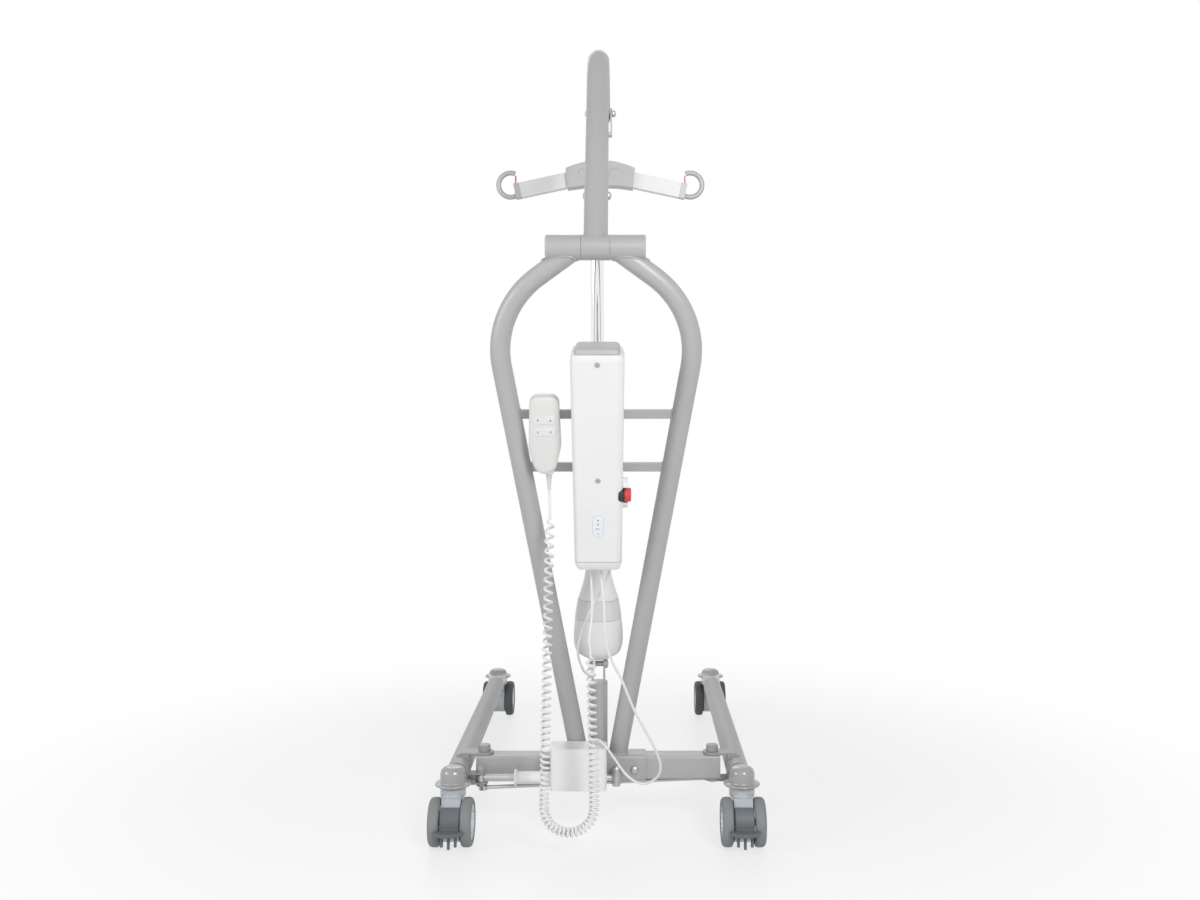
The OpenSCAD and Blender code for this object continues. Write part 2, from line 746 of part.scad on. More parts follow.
screw_u = [box_u + 190, box_u + box_len - 18];
screw_d = 5.8;
screw_sink = 1.5;
module box_hole_tools() {
    on_mast() for (u = screw_u) translate([box_x, -box_t, u]) rotate([90, 0, 0]) {
        cylinder(d = screw_d + 0.2, h = far, center = true);
        translate([0, 0, box_depth - screw_sink]) cylinder(d = 11, h = 10);
    }
}

module cover_screws() {
    head_at = box_depth - screw_sink;
    color([0.7, 0.71, 0.72]) on_mast() for (u = screw_u) translate([box_x, -box_t, u]) rotate([90, 0, 0])
        difference() {
            union() {
                cylinder(d = screw_d, h = head_at);
                translate([0, 0, head_at]) cylinder(d = 10.6, h = 1.8);
            }
            translate([0, 0, head_at - 1]) cylinder(d = 5, h = 10, $fn = 6);
        }
}

module box_top_cap() {
    t1 = box_t + box_depth;
    color([0.78, 0.79, 0.79]) on_mast() hull() {
        box_plate(box_u + box_len + gap, box_w_top - 16, box_t + 6, t1 - 10, box_r - 3, 0);
        box_plate(box_u + box_len + 7, box_w_top - 20, box_t + 8, t1 - 14, box_r - 4, 0);
        box_plate(box_u + box_len + 10, box_w_top - 28, box_t + 12, t1 - 20, box_r - 6, 0);
    }
}

module box_brackets() {
    // Clamps behind each cross bar that carry the box
    color([0.5, 0.5, 0.5]) on_mast() for (u = bar_u) difference() {
        translate([-25, -box_t - 1, u - 15]) cube([50, box_t + bar_size[1] / 2 + 5, 30]);
        translate([-far / 2, -bar_size[1] / 2, u - bar_size[0] / 2]) cube([far, bar_size[1], bar_size[0]]);
        box_shape(0);
    }
}

// Batteries: their size, and the room over them under the box's top
battery_room = 35;
battery_size = [box_w_foot - 2 * (box_wall + box_r), 32, box_len / 2.2];
battery_u = box_u + box_len - battery_room - battery_size[2];
module battery_pack() {
    color([0.25, 0.25, 0.27]) on_mast()
        translate([box_x - battery_size[0] / 2, -box_t - box_wall - battery_size[1], battery_u])
            cube(battery_size);
}

// The board: its width, its foot over the box's foot, and its distance from the batteries
board_w = box_w_foot - 22;
board_foot = 30;
board_room = 25;
module control_board() {
    color([0.1, 0.4, 0.2]) on_mast() {
        translate([box_x - board_w / 2, -box_t - box_wall - 10, box_u + board_foot])
            cube([board_w, 1.6, battery_u - box_u - board_foot - board_room]);
        for (x = [-16, 16], z = [50, 110]) translate([x, -box_t - box_wall - 24, box_u + z]) cube([14, 14, 30]);
        translate([-30, -box_t - box_wall - 8.4, box_u + 40]) cube([60, 8.4, 6]);
    }
}

// Emergency stop, sunk into the box's side near its back
stop_u = box_u + 157.5;
stop_t = box_t + box_depth * 0.86;
stop_x = box_x + box_w_foot / 2 + (box_w_top - box_w_foot) / 2 * (stop_u - box_u) / box_len;
stop_sink = 9.7;
stop_flange_d = 28;
module at_stop() { translate([stop_x - stop_sink, -stop_t, stop_u]) children(); }

module stop_recess() {
    at_stop() { rod_x(17, -12, far); rod_x(stop_flange_d + 0.4, 1, far); }
}

module stop_collar() {
    color([0.12, 0.12, 0.13]) on_mast() at_stop() difference() {
        union() { rod_x(16.6, -8, 1.5); rod_x(stop_flange_d, 1.3, 11); }
        rod_x(12.6, -20, far);
        rod_x(stop_flange_d - 1, 9.5, far);
    }
    // The white ear around the collar
    color([0.94, 0.94, 0.94]) on_mast() difference() {
        translate([stop_x, -stop_t + 14, stop_u]) along_x(0.4, 10) rounded_rect(36, 62, 17.9);
        at_stop() rod_x(stop_flange_d + 2, -5, far);
    }
}

module stop_button() {
    color([0.82, 0.2, 0.2]) on_mast() at_stop() {
        rod_x(12, -7, 14);
        rod_x(24, 12.8, 15);
        rotate([0, 90, 0]) translate([0, 0, 14.5]) rotate_extrude()
            polygon([[0, 0], [13, 0], [14, 1.5], [14, 9.5], [12, 11.5], [0, 12]]);
    }
}

gland_at = [[-11.5, 42], [8.5, 42], [25, 42]];
module cable_glands() {
    color([0.9, 0.9, 0.9]) on_mast() difference() {
        for (g = gland_at) translate([g[0], -box_t - g[1], box_u - 9]) cylinder(d1 = 8, d2 = 12, h = 14);
        box_shape(0);
    }
    color([0.12, 0.12, 0.13]) on_mast() difference() {
        translate([-34, -box_t - box_depth + 26, box_u - 5]) cube([13, 14, 12]);
        box_shape(0);
    }
}

// Leg actuator: its case and tube are fixed on the beam's sleeve

lever_at = [lever_out * cos(leg_splay) - lever_arm * sin(leg_splay),
            -lever_out * sin(leg_splay) - lever_arm * cos(leg_splay)];
actuator_y = beam_y + lever_at[1];
lever_pin_x = -pivot_x - lever_at[0];
bracket_x = lever_pin_x + actuator_reach;
case_x = [bracket_x - 20 - case_size[0], bracket_x - 20];

// Heights of the plates around the actuator's pins, their thickness and their width
plate_z = [-12.3, 8.3];
plate_t = 4;
plate_w = 22;

// Room between the sleeve and the case, where the mast's foot leans over it
case_clear = 4;

module leg_actuator_case() {
    case_z = actuator_z - 16;
    color([0.92, 0.92, 0.92]) difference() {
        union() {
            translate([(case_x[0] + case_x[1]) / 2, beam_y - sleeve_side / 2 - case_clear - case_size[1] / 2,
                       case_z])
                linear_extrude(case_size[2]) rounded_rect(case_size[0], case_size[1], 9);
            translate([0, actuator_y, actuator_z]) {
                rod_x(leg_tube_d, case_x[0] - 76, case_x[0] + 4);
                rod_x(leg_tube_d + 8, case_x[0] - 78, case_x[0] - 73);
                rod_x(plate_w - 8, case_x[1] - 3, bracket_x - 6);
            }
            translate([bracket_x, actuator_y, actuator_z - 8]) cylinder(d = plate_w, h = 16);
        }
        translate([0, actuator_y, actuator_z]) rod_x(leg_rod_d + 2 * running, case_x[0] - 100, case_x[0] + 40);
        translate([bracket_x, actuator_y, 0]) cylinder(d = lever_pin_d + 2 * running, h = far);
        translate([-8, beam_y - sleeve_side / 2 - 34, case_z + case_size[2] - 8]) cylinder(d = 9, h = 20);
    }
    // The bracket that holds the case's pin
    color([0.62, 0.62, 0.62]) {
        for (z = plate_z) translate([bracket_x, actuator_y, actuator_z + z]) {
            cylinder(d = plate_w, h = plate_t);
            translate([-plate_w / 2, 0, 0]) cube([plate_w, beam_y - actuator_y - sleeve_side / 2, plate_t]);
        }
        translate([bracket_x, actuator_y, actuator_z]) lever_bolt();
    }
}

// A pin with a dome nut at each end, reaching a little past the plates
module lever_bolt() {
    translate([0, 0, -13]) cylinder(d = lever_pin_d, h = 26);
    translate([0, 0, 12.3]) dome_head(17, 14);
    translate([0, 0, -12.3]) mirror([0, 0, 1]) cylinder(d = 17, h = 5);
}

// Play in the rod's eye, because the lever's pin swings and the rod only slides
swing_play = 0.6;
module leg_actuator_rod() {
    color([0.8, 0.81, 0.82]) translate([0, actuator_y, actuator_z]) difference() {
        union() {
            rod_x(leg_rod_d, lever_pin_x + 8, case_x[0] - 20);
            translate([lever_pin_x, 0, -7]) cylinder(d = plate_w - 2, h = 14);
        }
        translate([lever_pin_x, 0, 0]) cylinder(d = lever_pin_d + 2 * swing_play, h = far, center = true);
    }
}

// Legs

module leg_solid(d, y0, y1) {
    translate([leg_offset, 0, beam_z]) rotate([-leg_slope, 0, 0])
        translate([0, y0, 0]) rotate([-90, 0, 0]) cylinder(d = d, h = y1 - y0);
}

module leg_tube(tie_side, lever) {
    y0 = -rear_overhang + neck_d / 2 + 2;
    y1 = (front_reach - front_casting) / cos(leg_slope);
    lug_top = beam_z + beam_side / 2 + 0.5;
    lug_foot = beam_z - beam_side / 2 - 0.5 - lug_t;
    difference() {
        union() {
            leg_solid(leg_d, y0, y1);
            for (z = [lug_top, lug_foot]) translate([0, 0, z]) {
                cylinder(d = 40, h = lug_t);
                translate([0, -20, 0]) cube([leg_offset, 40, lug_t]);
            }
            translate([leg_offset - 20, -22, beam_z - beam_side / 2 - 3])
                cube([26, 44, beam_side + 6]);
            // The lever's two plates behind the beam
            if (lever) for (z = plate_z) translate([lever_out, -lever_arm, actuator_z + z]) {
                cylinder(d = plate_w, h = plate_t);
                translate([0, -plate_w / 2, 0]) cube([leg_offset - lever_out, plate_w, plate_t]);
            }
            // The lever for the tie rod, under the lug
            translate([0, tie_side * tie_arm, lug_foot]) cylinder(d = 20, h = lug_t);
            translate([-10, min(0, tie_side * tie_arm), lug_foot]) cube([20, tie_arm, lug_t]);
            translate([0, tie_side * tie_arm, lug_foot - 13]) cylinder(d = tie_pin_d, h = 14);
        }
        leg_solid(leg_d - 2 * leg_wall, -far / 2, far);
        cylinder(d = pivot_d + 2 * running, h = far);
    }
    if (lever) translate([lever_out, -lever_arm, actuator_z]) lever_bolt();
}

module leg_tube_right() { color([0.64, 0.65, 0.64]) on_leg() leg_tube(1, false); }
module leg_tube_left() { color([0.64, 0.65, 0.64]) mirror([1, 0, 0]) on_leg() leg_tube(-1, true); }

// A casting over a swivel: a domed cap with its bumper, turned as one outline
module casting_cap(top) {
    r = neck_d / 2;
    foot = bumper_z;
    rotate_extrude() polygon(concat(
        [[0, foot], [bumper_d / 2 - 3, foot], [bumper_d / 2, foot + bumper_t / 2],
         [bumper_d / 2 - 2, foot + bumper_t], [r, foot + bumper_t], [r, top - dome_h]],
        [for (a = [15 : 15 : 90]) [(r - dome_h) + dome_h * cos(a), top - dome_h + dome_h * sin(a)]],
        [[0, top]]));
}
dome_h = 15.5;

module rear_casting() {
    y0 = -rear_overhang + neck_d / 2 + 2;
    difference() {
        union() {
            difference() {
                translate([leg_offset + rear_swivel_out, -rear_overhang, 0]) casting_cap(rear_dome_z);
                leg_solid(leg_d + 2 * gap, y0 - gap, far / 2);
            }
            leg_solid(leg_d - 2 * leg_wall, -rear_overhang, y0 + 35);
        }
        translate([leg_offset + rear_swivel_out, -rear_overhang, 0]) stem_bore();
    }
}

module front_casting() {
    y1 = (front_reach - front_casting) / cos(leg_slope);
    difference() {
        union() {
            translate([leg_offset, front_reach, 0]) casting_cap(front_dome_z);
            leg_solid(leg_d - 2 * leg_wall, y1 - 35, y1 + 10);
            hull() {
                leg_solid(leg_d, y1 + gap, y1 + 8, $fn = 32);
                translate([leg_offset, front_reach, bumper_z + 2])
                    cylinder(d = neck_d, h = front_dome_z - bumper_z - dome_h, $fn = 32);
            }
        }
        translate([leg_offset, front_reach, 0]) {
            stem_bore();
            // Room for the wheels as they swivel
            translate([0, 0, -1]) cylinder(r = sweep_r, h = wheel_d + 5);
        }
    }
}
// Reach of the wheels' upper part around the swivel, where they pass under the casting
sweep_r = norm([wheel_w + wheel_gap / 2, caster_trail + wheel_r * 0.8]);

module stem_bore() {
    cylinder(d = stem_d + 2 * running, h = neck_top + 24);
    cylinder(d = neck_d + 2, h = neck_top + gap);
}

module leg_castings() {
    rear_casting();
    front_casting();
}

module leg_castings_right() { color([0.7, 0.7, 0.7]) on_leg() leg_castings(); }
module leg_castings_left() { color([0.7, 0.7, 0.7]) mirror([1, 0, 0]) on_leg() leg_castings(); }

// The tie rod runs under the beam from the left leg's lever to the right one's
tie_drop = 8.5;
tie_pin_d = 8;
module tie_rod() {
    z = beam_z - beam_side / 2 - 0.5 - lug_t - tie_drop;
    left = [-pivot_x + tie_arm * sin(leg_splay), beam_y - tie_arm * cos(leg_splay), z];
    right = [pivot_x + tie_arm * sin(leg_splay), beam_y + tie_arm * cos(leg_splay), z];
    run = right - left;
    turn = atan2(run[1], run[0]);
    color([0.66, 0.67, 0.68]) translate(left) rotate([0, 0, turn]) difference() {
        union() {
            rod_x(tie_d, 8, norm(run) - 8);
            for (x = [0, norm(run)]) translate([x, 0, -4.5]) cylinder(d = 19, h = 9);
        }
        for (x = [0, norm(run)]) translate([x, 0, 0]) cylinder(d = tie_pin_d + 2 * 0.4, h = far, center = true);
    }
}

// Casters, with the swivel axis on x = y = 0 and the wheels towards -y

hood_r = wheel_r - 10;
module caster_body() {
    hood_w = wheel_gap - 3;
    translate([0, 0, neck_top - 20]) cylinder(d = neck_d, h = 20);
    translate([0, 0, neck_top - 2]) cylinder(d = stem_d, h = 24);
    along_x(-hood_w / 2, hood_w / 2) {
        translate([-caster_trail, wheel_r]) circle(hood_r);
        polygon([[-caster_trail - hood_r * 0.45, wheel_r + hood_r * 0.9], [-neck_d / 2 - 3, neck_top - 18],
                 [neck_d / 2 - 3, neck_top - 19], [neck_d / 2 - 3, neck_top - 24],
                 [-caster_trail, wheel_r - 20]]);
    }
    axle_end = wheel_gap / 2 + wheel_w - 2;
    translate([0, -caster_trail, wheel_r]) rod_x(axle_d, -axle_end, axle_end);
}

module wheel_pair() {
    // Half the outline of one wheel, turned around the axle
    r = wheel_r;
    w = wheel_w;
    mirrored() translate([wheel_gap / 2, -caster_trail, r]) rotate([0, 90, 0]) rotate_extrude()
        polygon([[axle_d / 2 + running, 2], [r - 13, 2], [r - 11, 0], [r - 5, 0], [r - 1.2, 2.5], [r, 7],
                 [r, w - 9], [r - 2, w - 3], [r - 6, w], [r - 10, w], [r - 12, w - 1.5],
                 [axle_d / 2 + running, w - 0.5]]);
}

// The brake pedal turns about the axle: a shield around the hood, a blade and three teeth
blade_r = 34;
blade_deep = 23;
module pedal() {
    w = wheel_gap - 5;
    back = -wheel_r - 2;
    translate([0, -caster_trail, wheel_r]) {
        along_x(-w / 2, w / 2) {
            intersection() {
                difference() { circle(hood_r + 4); circle(hood_r + 0.5); }
                polygon([[0, 0], for (a = [-24, 17, 58]) 2 * wheel_r * [-cos(a), sin(a)]]);
            }
            polygon([[-hood_r - 1.5, -3], [back - 6, -3], [back - 6, -10], [-hood_r - 0.2, -14]]);
        }
        translate([0, 0, -10]) intersection() {
            translate([0, back - blade_deep + blade_r, 0]) cylinder(r = blade_r, h = 7);
            translate([-far / 2, back - far, -1]) cube([far, far, 9]);
        }
        for (x = [-14, 0, 14], tip = x == 0 ? -41 : -36) along_x(x - 3, x + 3)
            polygon([[-49, -9], [-51, tip], [-46, tip - 1], [-hood_r - 1, -12]]);
    }
}

module rear_caster_right() { color([0.74, 0.77, 0.8]) at_rear_swivel() caster_body(); }
module rear_caster_left() { color([0.74, 0.77, 0.8]) mirror([1, 0, 0]) at_rear_swivel() caster_body(); }
module rear_wheels_right() { color([0.48, 0.49, 0.49]) at_rear_swivel() wheel_pair(); }
module rear_wheels_left() { color([0.48, 0.49, 0.49]) mirror([1, 0, 0]) at_rear_swivel() wheel_pair(); }
module brake_pedal_right() { color([0.41, 0.42, 0.43]) at_rear_swivel() pedal(); }
module brake_pedal_left() { color([0.41, 0.42, 0.43]) mirror([1, 0, 0]) at_rear_swivel() pedal(); }
module front_caster_right() { color([0.74, 0.77, 0.8]) at_front_swivel() rotate([0, 0, 180]) caster_body(); }
module front_caster_left() { mirror([1, 0, 0]) front_caster_right(); }
module front_wheels_right() { color([0.3, 0.3, 0.3]) at_front_swivel() rotate([0, 0, 180]) wheel_pair(); }
module front_wheels_left() { mirror([1, 0, 0]) front_wheels_right(); }

// Handset: z along its length, its face towards -y

module on_handset() { on_mast(hand_u, bar_size[1] / 2 + 14) translate([hand_x, 0, 0]) children(); }

// Outline of the handset: round foot, widest part over it, and a narrower top
hand_foot_r = 24;
hand_wide_z = hand_w / 2 + 26;
hand_corner = 16;
hand_top_w = 58;
module hand_outline(in) {
    hull() {
        translate([0, hand_foot_r]) circle(r = hand_foot_r - in, $fn = 40);
        translate([0, hand_wide_z]) circle(r = hand_w / 2 - in, $fn = 48);
        for (x = [-1, 1]) translate([x * (hand_top_w / 2 - hand_corner), hand_len - hand_corner])
            circle(r = hand_corner - in, $fn = 32);
    }
}

relief_x = 7;
relief_d = 19;
relief_top = 7;
module handset_back() {
    color([0.9, 0.9, 0.89]) on_handset() {
        rotate([90, 0, 0]) difference() {
            linear_extrude(hand_t / 2) hand_outline(0);
            translate([0, 0, 3]) linear_extrude(hand_t) hand_outline(3);
        }
        // The hook over the upper cross bar
        hook_z = bar_u[1] + bar_size[0] / 2 - hand_u;
        translate([-14, -1, hook_z - 30]) cube([28, 15 - gap - 0.2, 8]);
        translate([-14, -1, hook_z + gap]) cube([28, 15 + bar_size[1] + 4, 4]);
        translate([-14, 14 + bar_size[1] + gap, hook_z - 16]) cube([28, 3.5, 18]);
    }
    // The tapered strain relief under the handset, with its ribs
    color([0.85, 0.85, 0.85]) on_handset() translate([relief_x, -hand_t / 2, 0]) {
        translate([0, 0, -1]) cylinder(d = relief_d, h = relief_top + 1);
        for (i = [0 : 6]) translate([0, 0, -5 * i - 5]) cylinder(d1 = 10.5 - i, d2 = 13.5 - i, h = 3.4);
        translate([0, 0, -36]) cylinder(d1 = 7.4, d2 = 9, h = 36);
    }
}

module handset_front() {
    color([0.91, 0.91, 0.9]) on_handset() difference() {
        translate([0, -hand_t / 2 - gap, 0]) rotate([90, 0, 0]) difference() {
            hull() {
                linear_extrude(hand_t / 2 - 5) hand_outline(0);
                linear_extrude(hand_t / 2) hand_outline(6);
            }
            translate([0, 0, -1]) linear_extrude(hand_t / 2 - 5) hand_outline(3);
            for (z = key_z) translate([0, z, hand_t / 2 - key_sink]) linear_extrude(far)
                rounded_rect(key_size[0] + 2 * gap, key_size[1] + 2 * gap, 6);
        }
        translate([relief_x, -hand_t / 2, -2]) cylinder(d = relief_d + 2 * gap, h = relief_top + 2 + gap);
    }
}

// The rocker keys lie in recesses, each on a ridge that it tips over
key_z = [hand_len - 71, hand_len - 47];
key_size = [42, 17];
key_sink = 3.2;
module key(z) {
    on_handset() translate([0, -hand_t - gap, z]) rotate([90, 0, 0]) {
        translate([0, 0, -1.1]) linear_extrude(2.2) rounded_rect(key_size[0], key_size[1], 5.8);
        translate([0, 0, -key_sink / 2]) rotate([90, 0, 0])
            cylinder(r = key_sink / 2 - gap, h = key_size[1] - 4, center = true);
    }
}
module lift_key() { color([0.86, 0.87, 0.88]) key(key_z[1]); }
module leg_key() { color([0.86, 0.87, 0.88]) key(key_z[0]); }

// Cords. A tube is swept along points, with rings square to the route.

function unit(v) = v / norm(v);
function side_of(t, v) = unit(v - (v * t) * t);
function tangent(p, i) = unit(p[min(i + 1, len(p) - 1)] - p[max(i - 1, 0)]);

// One ring of a tube around a point, from its direction and a sideways vector
function ring(c, t, v, r, n) = let (a = side_of(t, v), b = cross(t, a))
    [for (k = [0 : n - 1]) c + r * (cos(360 * k / n) * a + sin(360 * k / n) * b)];

module tube(p, sides, v, r, n) {
    points = [for (i = [0 : len(p) - 1]) each ring(p[i], sides[i], v[i], r, n)];
    last = (len(p) - 1) * n;
    faces = concat(
        [for (k = [1 : n - 2]) [0, k, k + 1]],
        [for (i = [0 : len(p) - 2], k = [0 : n - 1]) let (a = i * n + k, b = i * n + (k + 1) % n)
            each [[a, a + n, b + n], [a, b + n, b]]],
        [for (k = [1 : n - 2]) [last, last + k + 1, last + k]]);
    polyhedron(points, faces);
}

// Smooth route through chosen points, a few steps between each pair
function spline(p, steps) = let (m = len(p) - 1)
    [for (i = [0 : m - 1], k = [0 : steps - 1]) let (s = k / steps,
        a = p[max(i - 1, 0)], b = p[i], c = p[i + 1], d = p[min(i + 2, m)])
        0.5 * (2 * b + (c - a) * s + (2 * a - 5 * b + 4 * c - d) * s * s
               + (3 * b - a - 3 * c + d) * s * s * s), p[m]];

// A sideways vector carried along the route without twist
function carried(p) = [for (i = 0, v = side_of(tangent(p, 0), [0, 1, 0.02]); i < len(p);
    i = i + 1, v = side_of(tangent(p, min(i, len(p) - 1)), v)) v];

module cord(p) {
    tube(p, [for (i = [0 : len(p) - 1]) tangent(p, i)], carried(p), cord_d / 2, 8);
}

// Route points, chosen by hand, in millimetres
handset_tail = [[-95, -565.9, 743.2], [-95, -564.2, 737.5], [-95, -562.4, 728], [-94.4, -562, 713],
                [-94, -562, 702], [-94, -562, 695.3]];
box_tail = [[-12, -562, 416.3], [-12, -562, 423], [-15, -561, 437], [-13, -557, 457], [-9.5, -550, 487],
            [-9.5, -544, 520], [-11, -541, 552], [-11.5, -541.8, 580.3], [-11.5, -543.5, 586]];
leg_route = [[8.5, -543.5, 586], [8.5, -542.65, 583.15], [8.5, -541.8, 580.3], [9, -543, 566],
             [11, -546, 545], [15, -551, 503], [17, -553, 459], [22, -552, 421],
             [31, -549, 394], [50, -543, 357], [77, -535, 291],
             [101, -525, 244], [119, -515, 208], [130, -505, 177], [128, -493, 150], [114, -482, 133],
             [97, -474, 125], [78, -466, 128], [57, -458, 143], [36, -452, 171], [14, -446, 199],
             [-2, -432, 207], [-8, -420, 200], [-8, -418.8, 192], [-8, -418.8, 188],
             [-8, -418.8, 184]];
motor_route = [[25, -543.5, 586], [25, -541.8, 580.3], [23, -538, 568], [15, -532, 548], [4, -526, 527],
               [-10, -518, 500], [-23, -506, 469], [-34, -489, 438], [-41, -470, 407], [-39, -447, 379],
               [-30, -424, 351], [-19, -402, 337], [-11, -387, 342], [-9, -382, 356], [-9, -383, 369]];

// The curly run: a line down from the handset, a half circle, a line up to the box
coil_y = -562;
coil_top = [-94, 690];
coil_left = [-106, 103];
coil_right = [-5, 103];
coil_end = [-12, 411];
close_pitch = 8.7;
bend_r = (coil_right[0] - coil_left[0]) / 2;
runs = [norm(coil_left - coil_top), PI * bend_r, norm(coil_end - coil_right)];
curl_total = curls[0] + curls[1] + curls[2];

// The curls sit closer together towards the foot of a hanging run
function sag(x, a) = 1 - (1 - x) * (a + (1 - a) * (1 - x));
function curl_at(n) = n <= curls[0] ? runs[0] * sag(n / curls[0], close_pitch * curls[0] / runs[0])
    : n <= curls[0] + curls[1] ? runs[0] + runs[1] * (n - curls[0]) / curls[1]
    : runs[0] + runs[1] + runs[2] * (1 - sag((curl_total - n) / curls[2], close_pitch * curls[2] / runs[2]));
function mid_line(s) = s <= runs[0] ? coil_top + (coil_left - coil_top) * s / runs[0]
    : s <= runs[0] + runs[1] ? (coil_left + coil_right) / 2
        - bend_r * [cos((s - runs[0]) / bend_r * 180 / PI), sin((s - runs[0]) / bend_r * 180 / PI)]
    : coil_right + (coil_end - coil_right) * (s - runs[0] - runs[1]) / runs[2];
function in_3d(q) = [q[0], coil_y, q[1]];
function mid_dir(s) = unit(in_3d(mid_line(s + 1)) - in_3d(mid_line(s - 1)));
function outward(n) = let (t = mid_dir(curl_at(n)), v = cross(t, [0, 1, 0]))
    cos(360 * n) * v + sin(360 * n) * [0, 1, 0];
function curl_r(n) = (curl_d - cord_d) / 2 * min(1, n, curl_total - n);
rings_per_curl = 8;
coil_steps = [for (k = [0 : curl_total * rings_per_curl]) k / rings_per_curl];
coil_points = concat([in_3d(coil_top) + [0, 0, cord_d]],
    [for (n = coil_steps) in_3d(mid_line(curl_at(n))) + curl_r(n) * outward(n)],
    [in_3d(coil_end) + [0, 0, cord_d]]);
coil_out = concat([outward(0)], [for (n = coil_steps) outward(n)], [outward(curl_total)]);
coil_dirs = [for (i = [0 : len(coil_points) - 1])
    i == 0 ? [0, 0, -1] : i == len(coil_points) - 1 ? [0, 0, 1] : tangent(coil_points, i)];

// Least gap between neighbouring curls, measured on the tube's own points
coil_gap = min([for (i = [1 : len(coil_points) - 12]) min([for (k = [5 : 10])
    i + k < len(coil_points) ? norm(coil_points[i + k] - coil_points[i]) : far])]) - cord_d;
echo(least_gap_between_curls = coil_gap);

module handset_cord_coil() { color([0.93, 0.93, 0.92]) tube(coil_points, coil_dirs, coil_out, cord_d / 2, 6); }
module handset_cord_ends() {
    color([0.93, 0.93, 0.92]) { cord(spline(handset_tail, 1)); cord(spline(box_tail, 1)); }
}
module leg_cable() { color([0.93, 0.93, 0.92]) cord(spline(leg_route, 2)); }
module motor_cable() { color([0.93, 0.93, 0.92]) cord(spline(motor_route, 2)); }

base_beam();
beam_sleeve();
sleeve_bolts();
leg_pivot_pins();
actuator_post();
mast_tube_left();
mast_tube_right();
cross_bars();
head_sleeves();
head_caps();
hub_shaft();
box_brackets();
control_box_housing();
control_box_cover();
box_top_cap();
battery_pack();
control_board();
display_panel();
cover_screws();
stop_collar();
stop_button();
cable_glands();
leg_actuator_case();
leg_actuator_rod();
boom_hub();
hub_bushes();
boom_tube();
boom_pins();
lift_motor_housing();
lift_tube();
lift_rod();
hanger();
spreader_cover();
spreader_arms();
spreader_hooks();
latch_left();
latch_right();
leg_tube_left();
leg_tube_right();
leg_castings_left();
leg_castings_right();
tie_rod();
rear_caster_left();
rear_caster_right();
rear_wheels_left();
rear_wheels_right();
brake_pedal_left();
brake_pedal_right();
front_caster_left();
front_caster_right();
front_wheels_left();
front_wheels_right();
handset_back();
handset_front();
lift_key();
leg_key();
handset_cord_ends();
handset_cord_coil();
leg_cable();
motor_cable();
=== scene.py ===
# %% [markdown]
# A mobile patient lift, seen from behind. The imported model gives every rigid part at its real
# size, so this lesson dresses it: paint, chrome, rubber and moulded plastic, smooth moulded
# covers in place of plain ones, weld beads along the joints, and the cords as swept curves.

# %% Load the frame
import json
import math

import bmesh
import bpy
from mathutils import Matrix, Vector
from mathutils.geometry import convex_hull_2d, intersect_line_line_2d


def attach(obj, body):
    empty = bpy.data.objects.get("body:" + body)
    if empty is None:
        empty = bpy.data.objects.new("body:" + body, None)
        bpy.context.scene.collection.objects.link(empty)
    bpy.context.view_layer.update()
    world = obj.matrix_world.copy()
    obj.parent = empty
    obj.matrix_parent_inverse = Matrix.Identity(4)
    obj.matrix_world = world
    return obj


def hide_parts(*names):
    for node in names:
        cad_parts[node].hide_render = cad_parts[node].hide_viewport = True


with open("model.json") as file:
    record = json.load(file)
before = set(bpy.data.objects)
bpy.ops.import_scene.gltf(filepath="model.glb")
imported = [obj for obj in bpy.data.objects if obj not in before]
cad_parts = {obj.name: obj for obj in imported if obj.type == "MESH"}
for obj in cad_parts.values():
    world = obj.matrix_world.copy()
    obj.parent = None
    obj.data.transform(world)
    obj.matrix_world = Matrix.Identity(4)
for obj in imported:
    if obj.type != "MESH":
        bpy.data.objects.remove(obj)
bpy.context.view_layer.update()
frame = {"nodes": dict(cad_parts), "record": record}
nodes = frame["nodes"]
slot_of = {part["node"]: part["material_slot"] for part in frame["record"]["subparts"]}
colour_of = {row["slot"]: row["base_color"][:3] for row in frame["record"]["materials"]}
MM = 0.001
# The printed film and the keys get shades of their own
colour_of.update(display_blue=[0.84, 0.88, 0.93], key_grey=[0.79, 0.79, 0.78])

# %% [markdown]
# Shader maths reads best as arithmetic. A small class wraps an output socket, so that
# `0.4 + 0.2 * noise` adds its own Math nodes, and one method makes any other node.


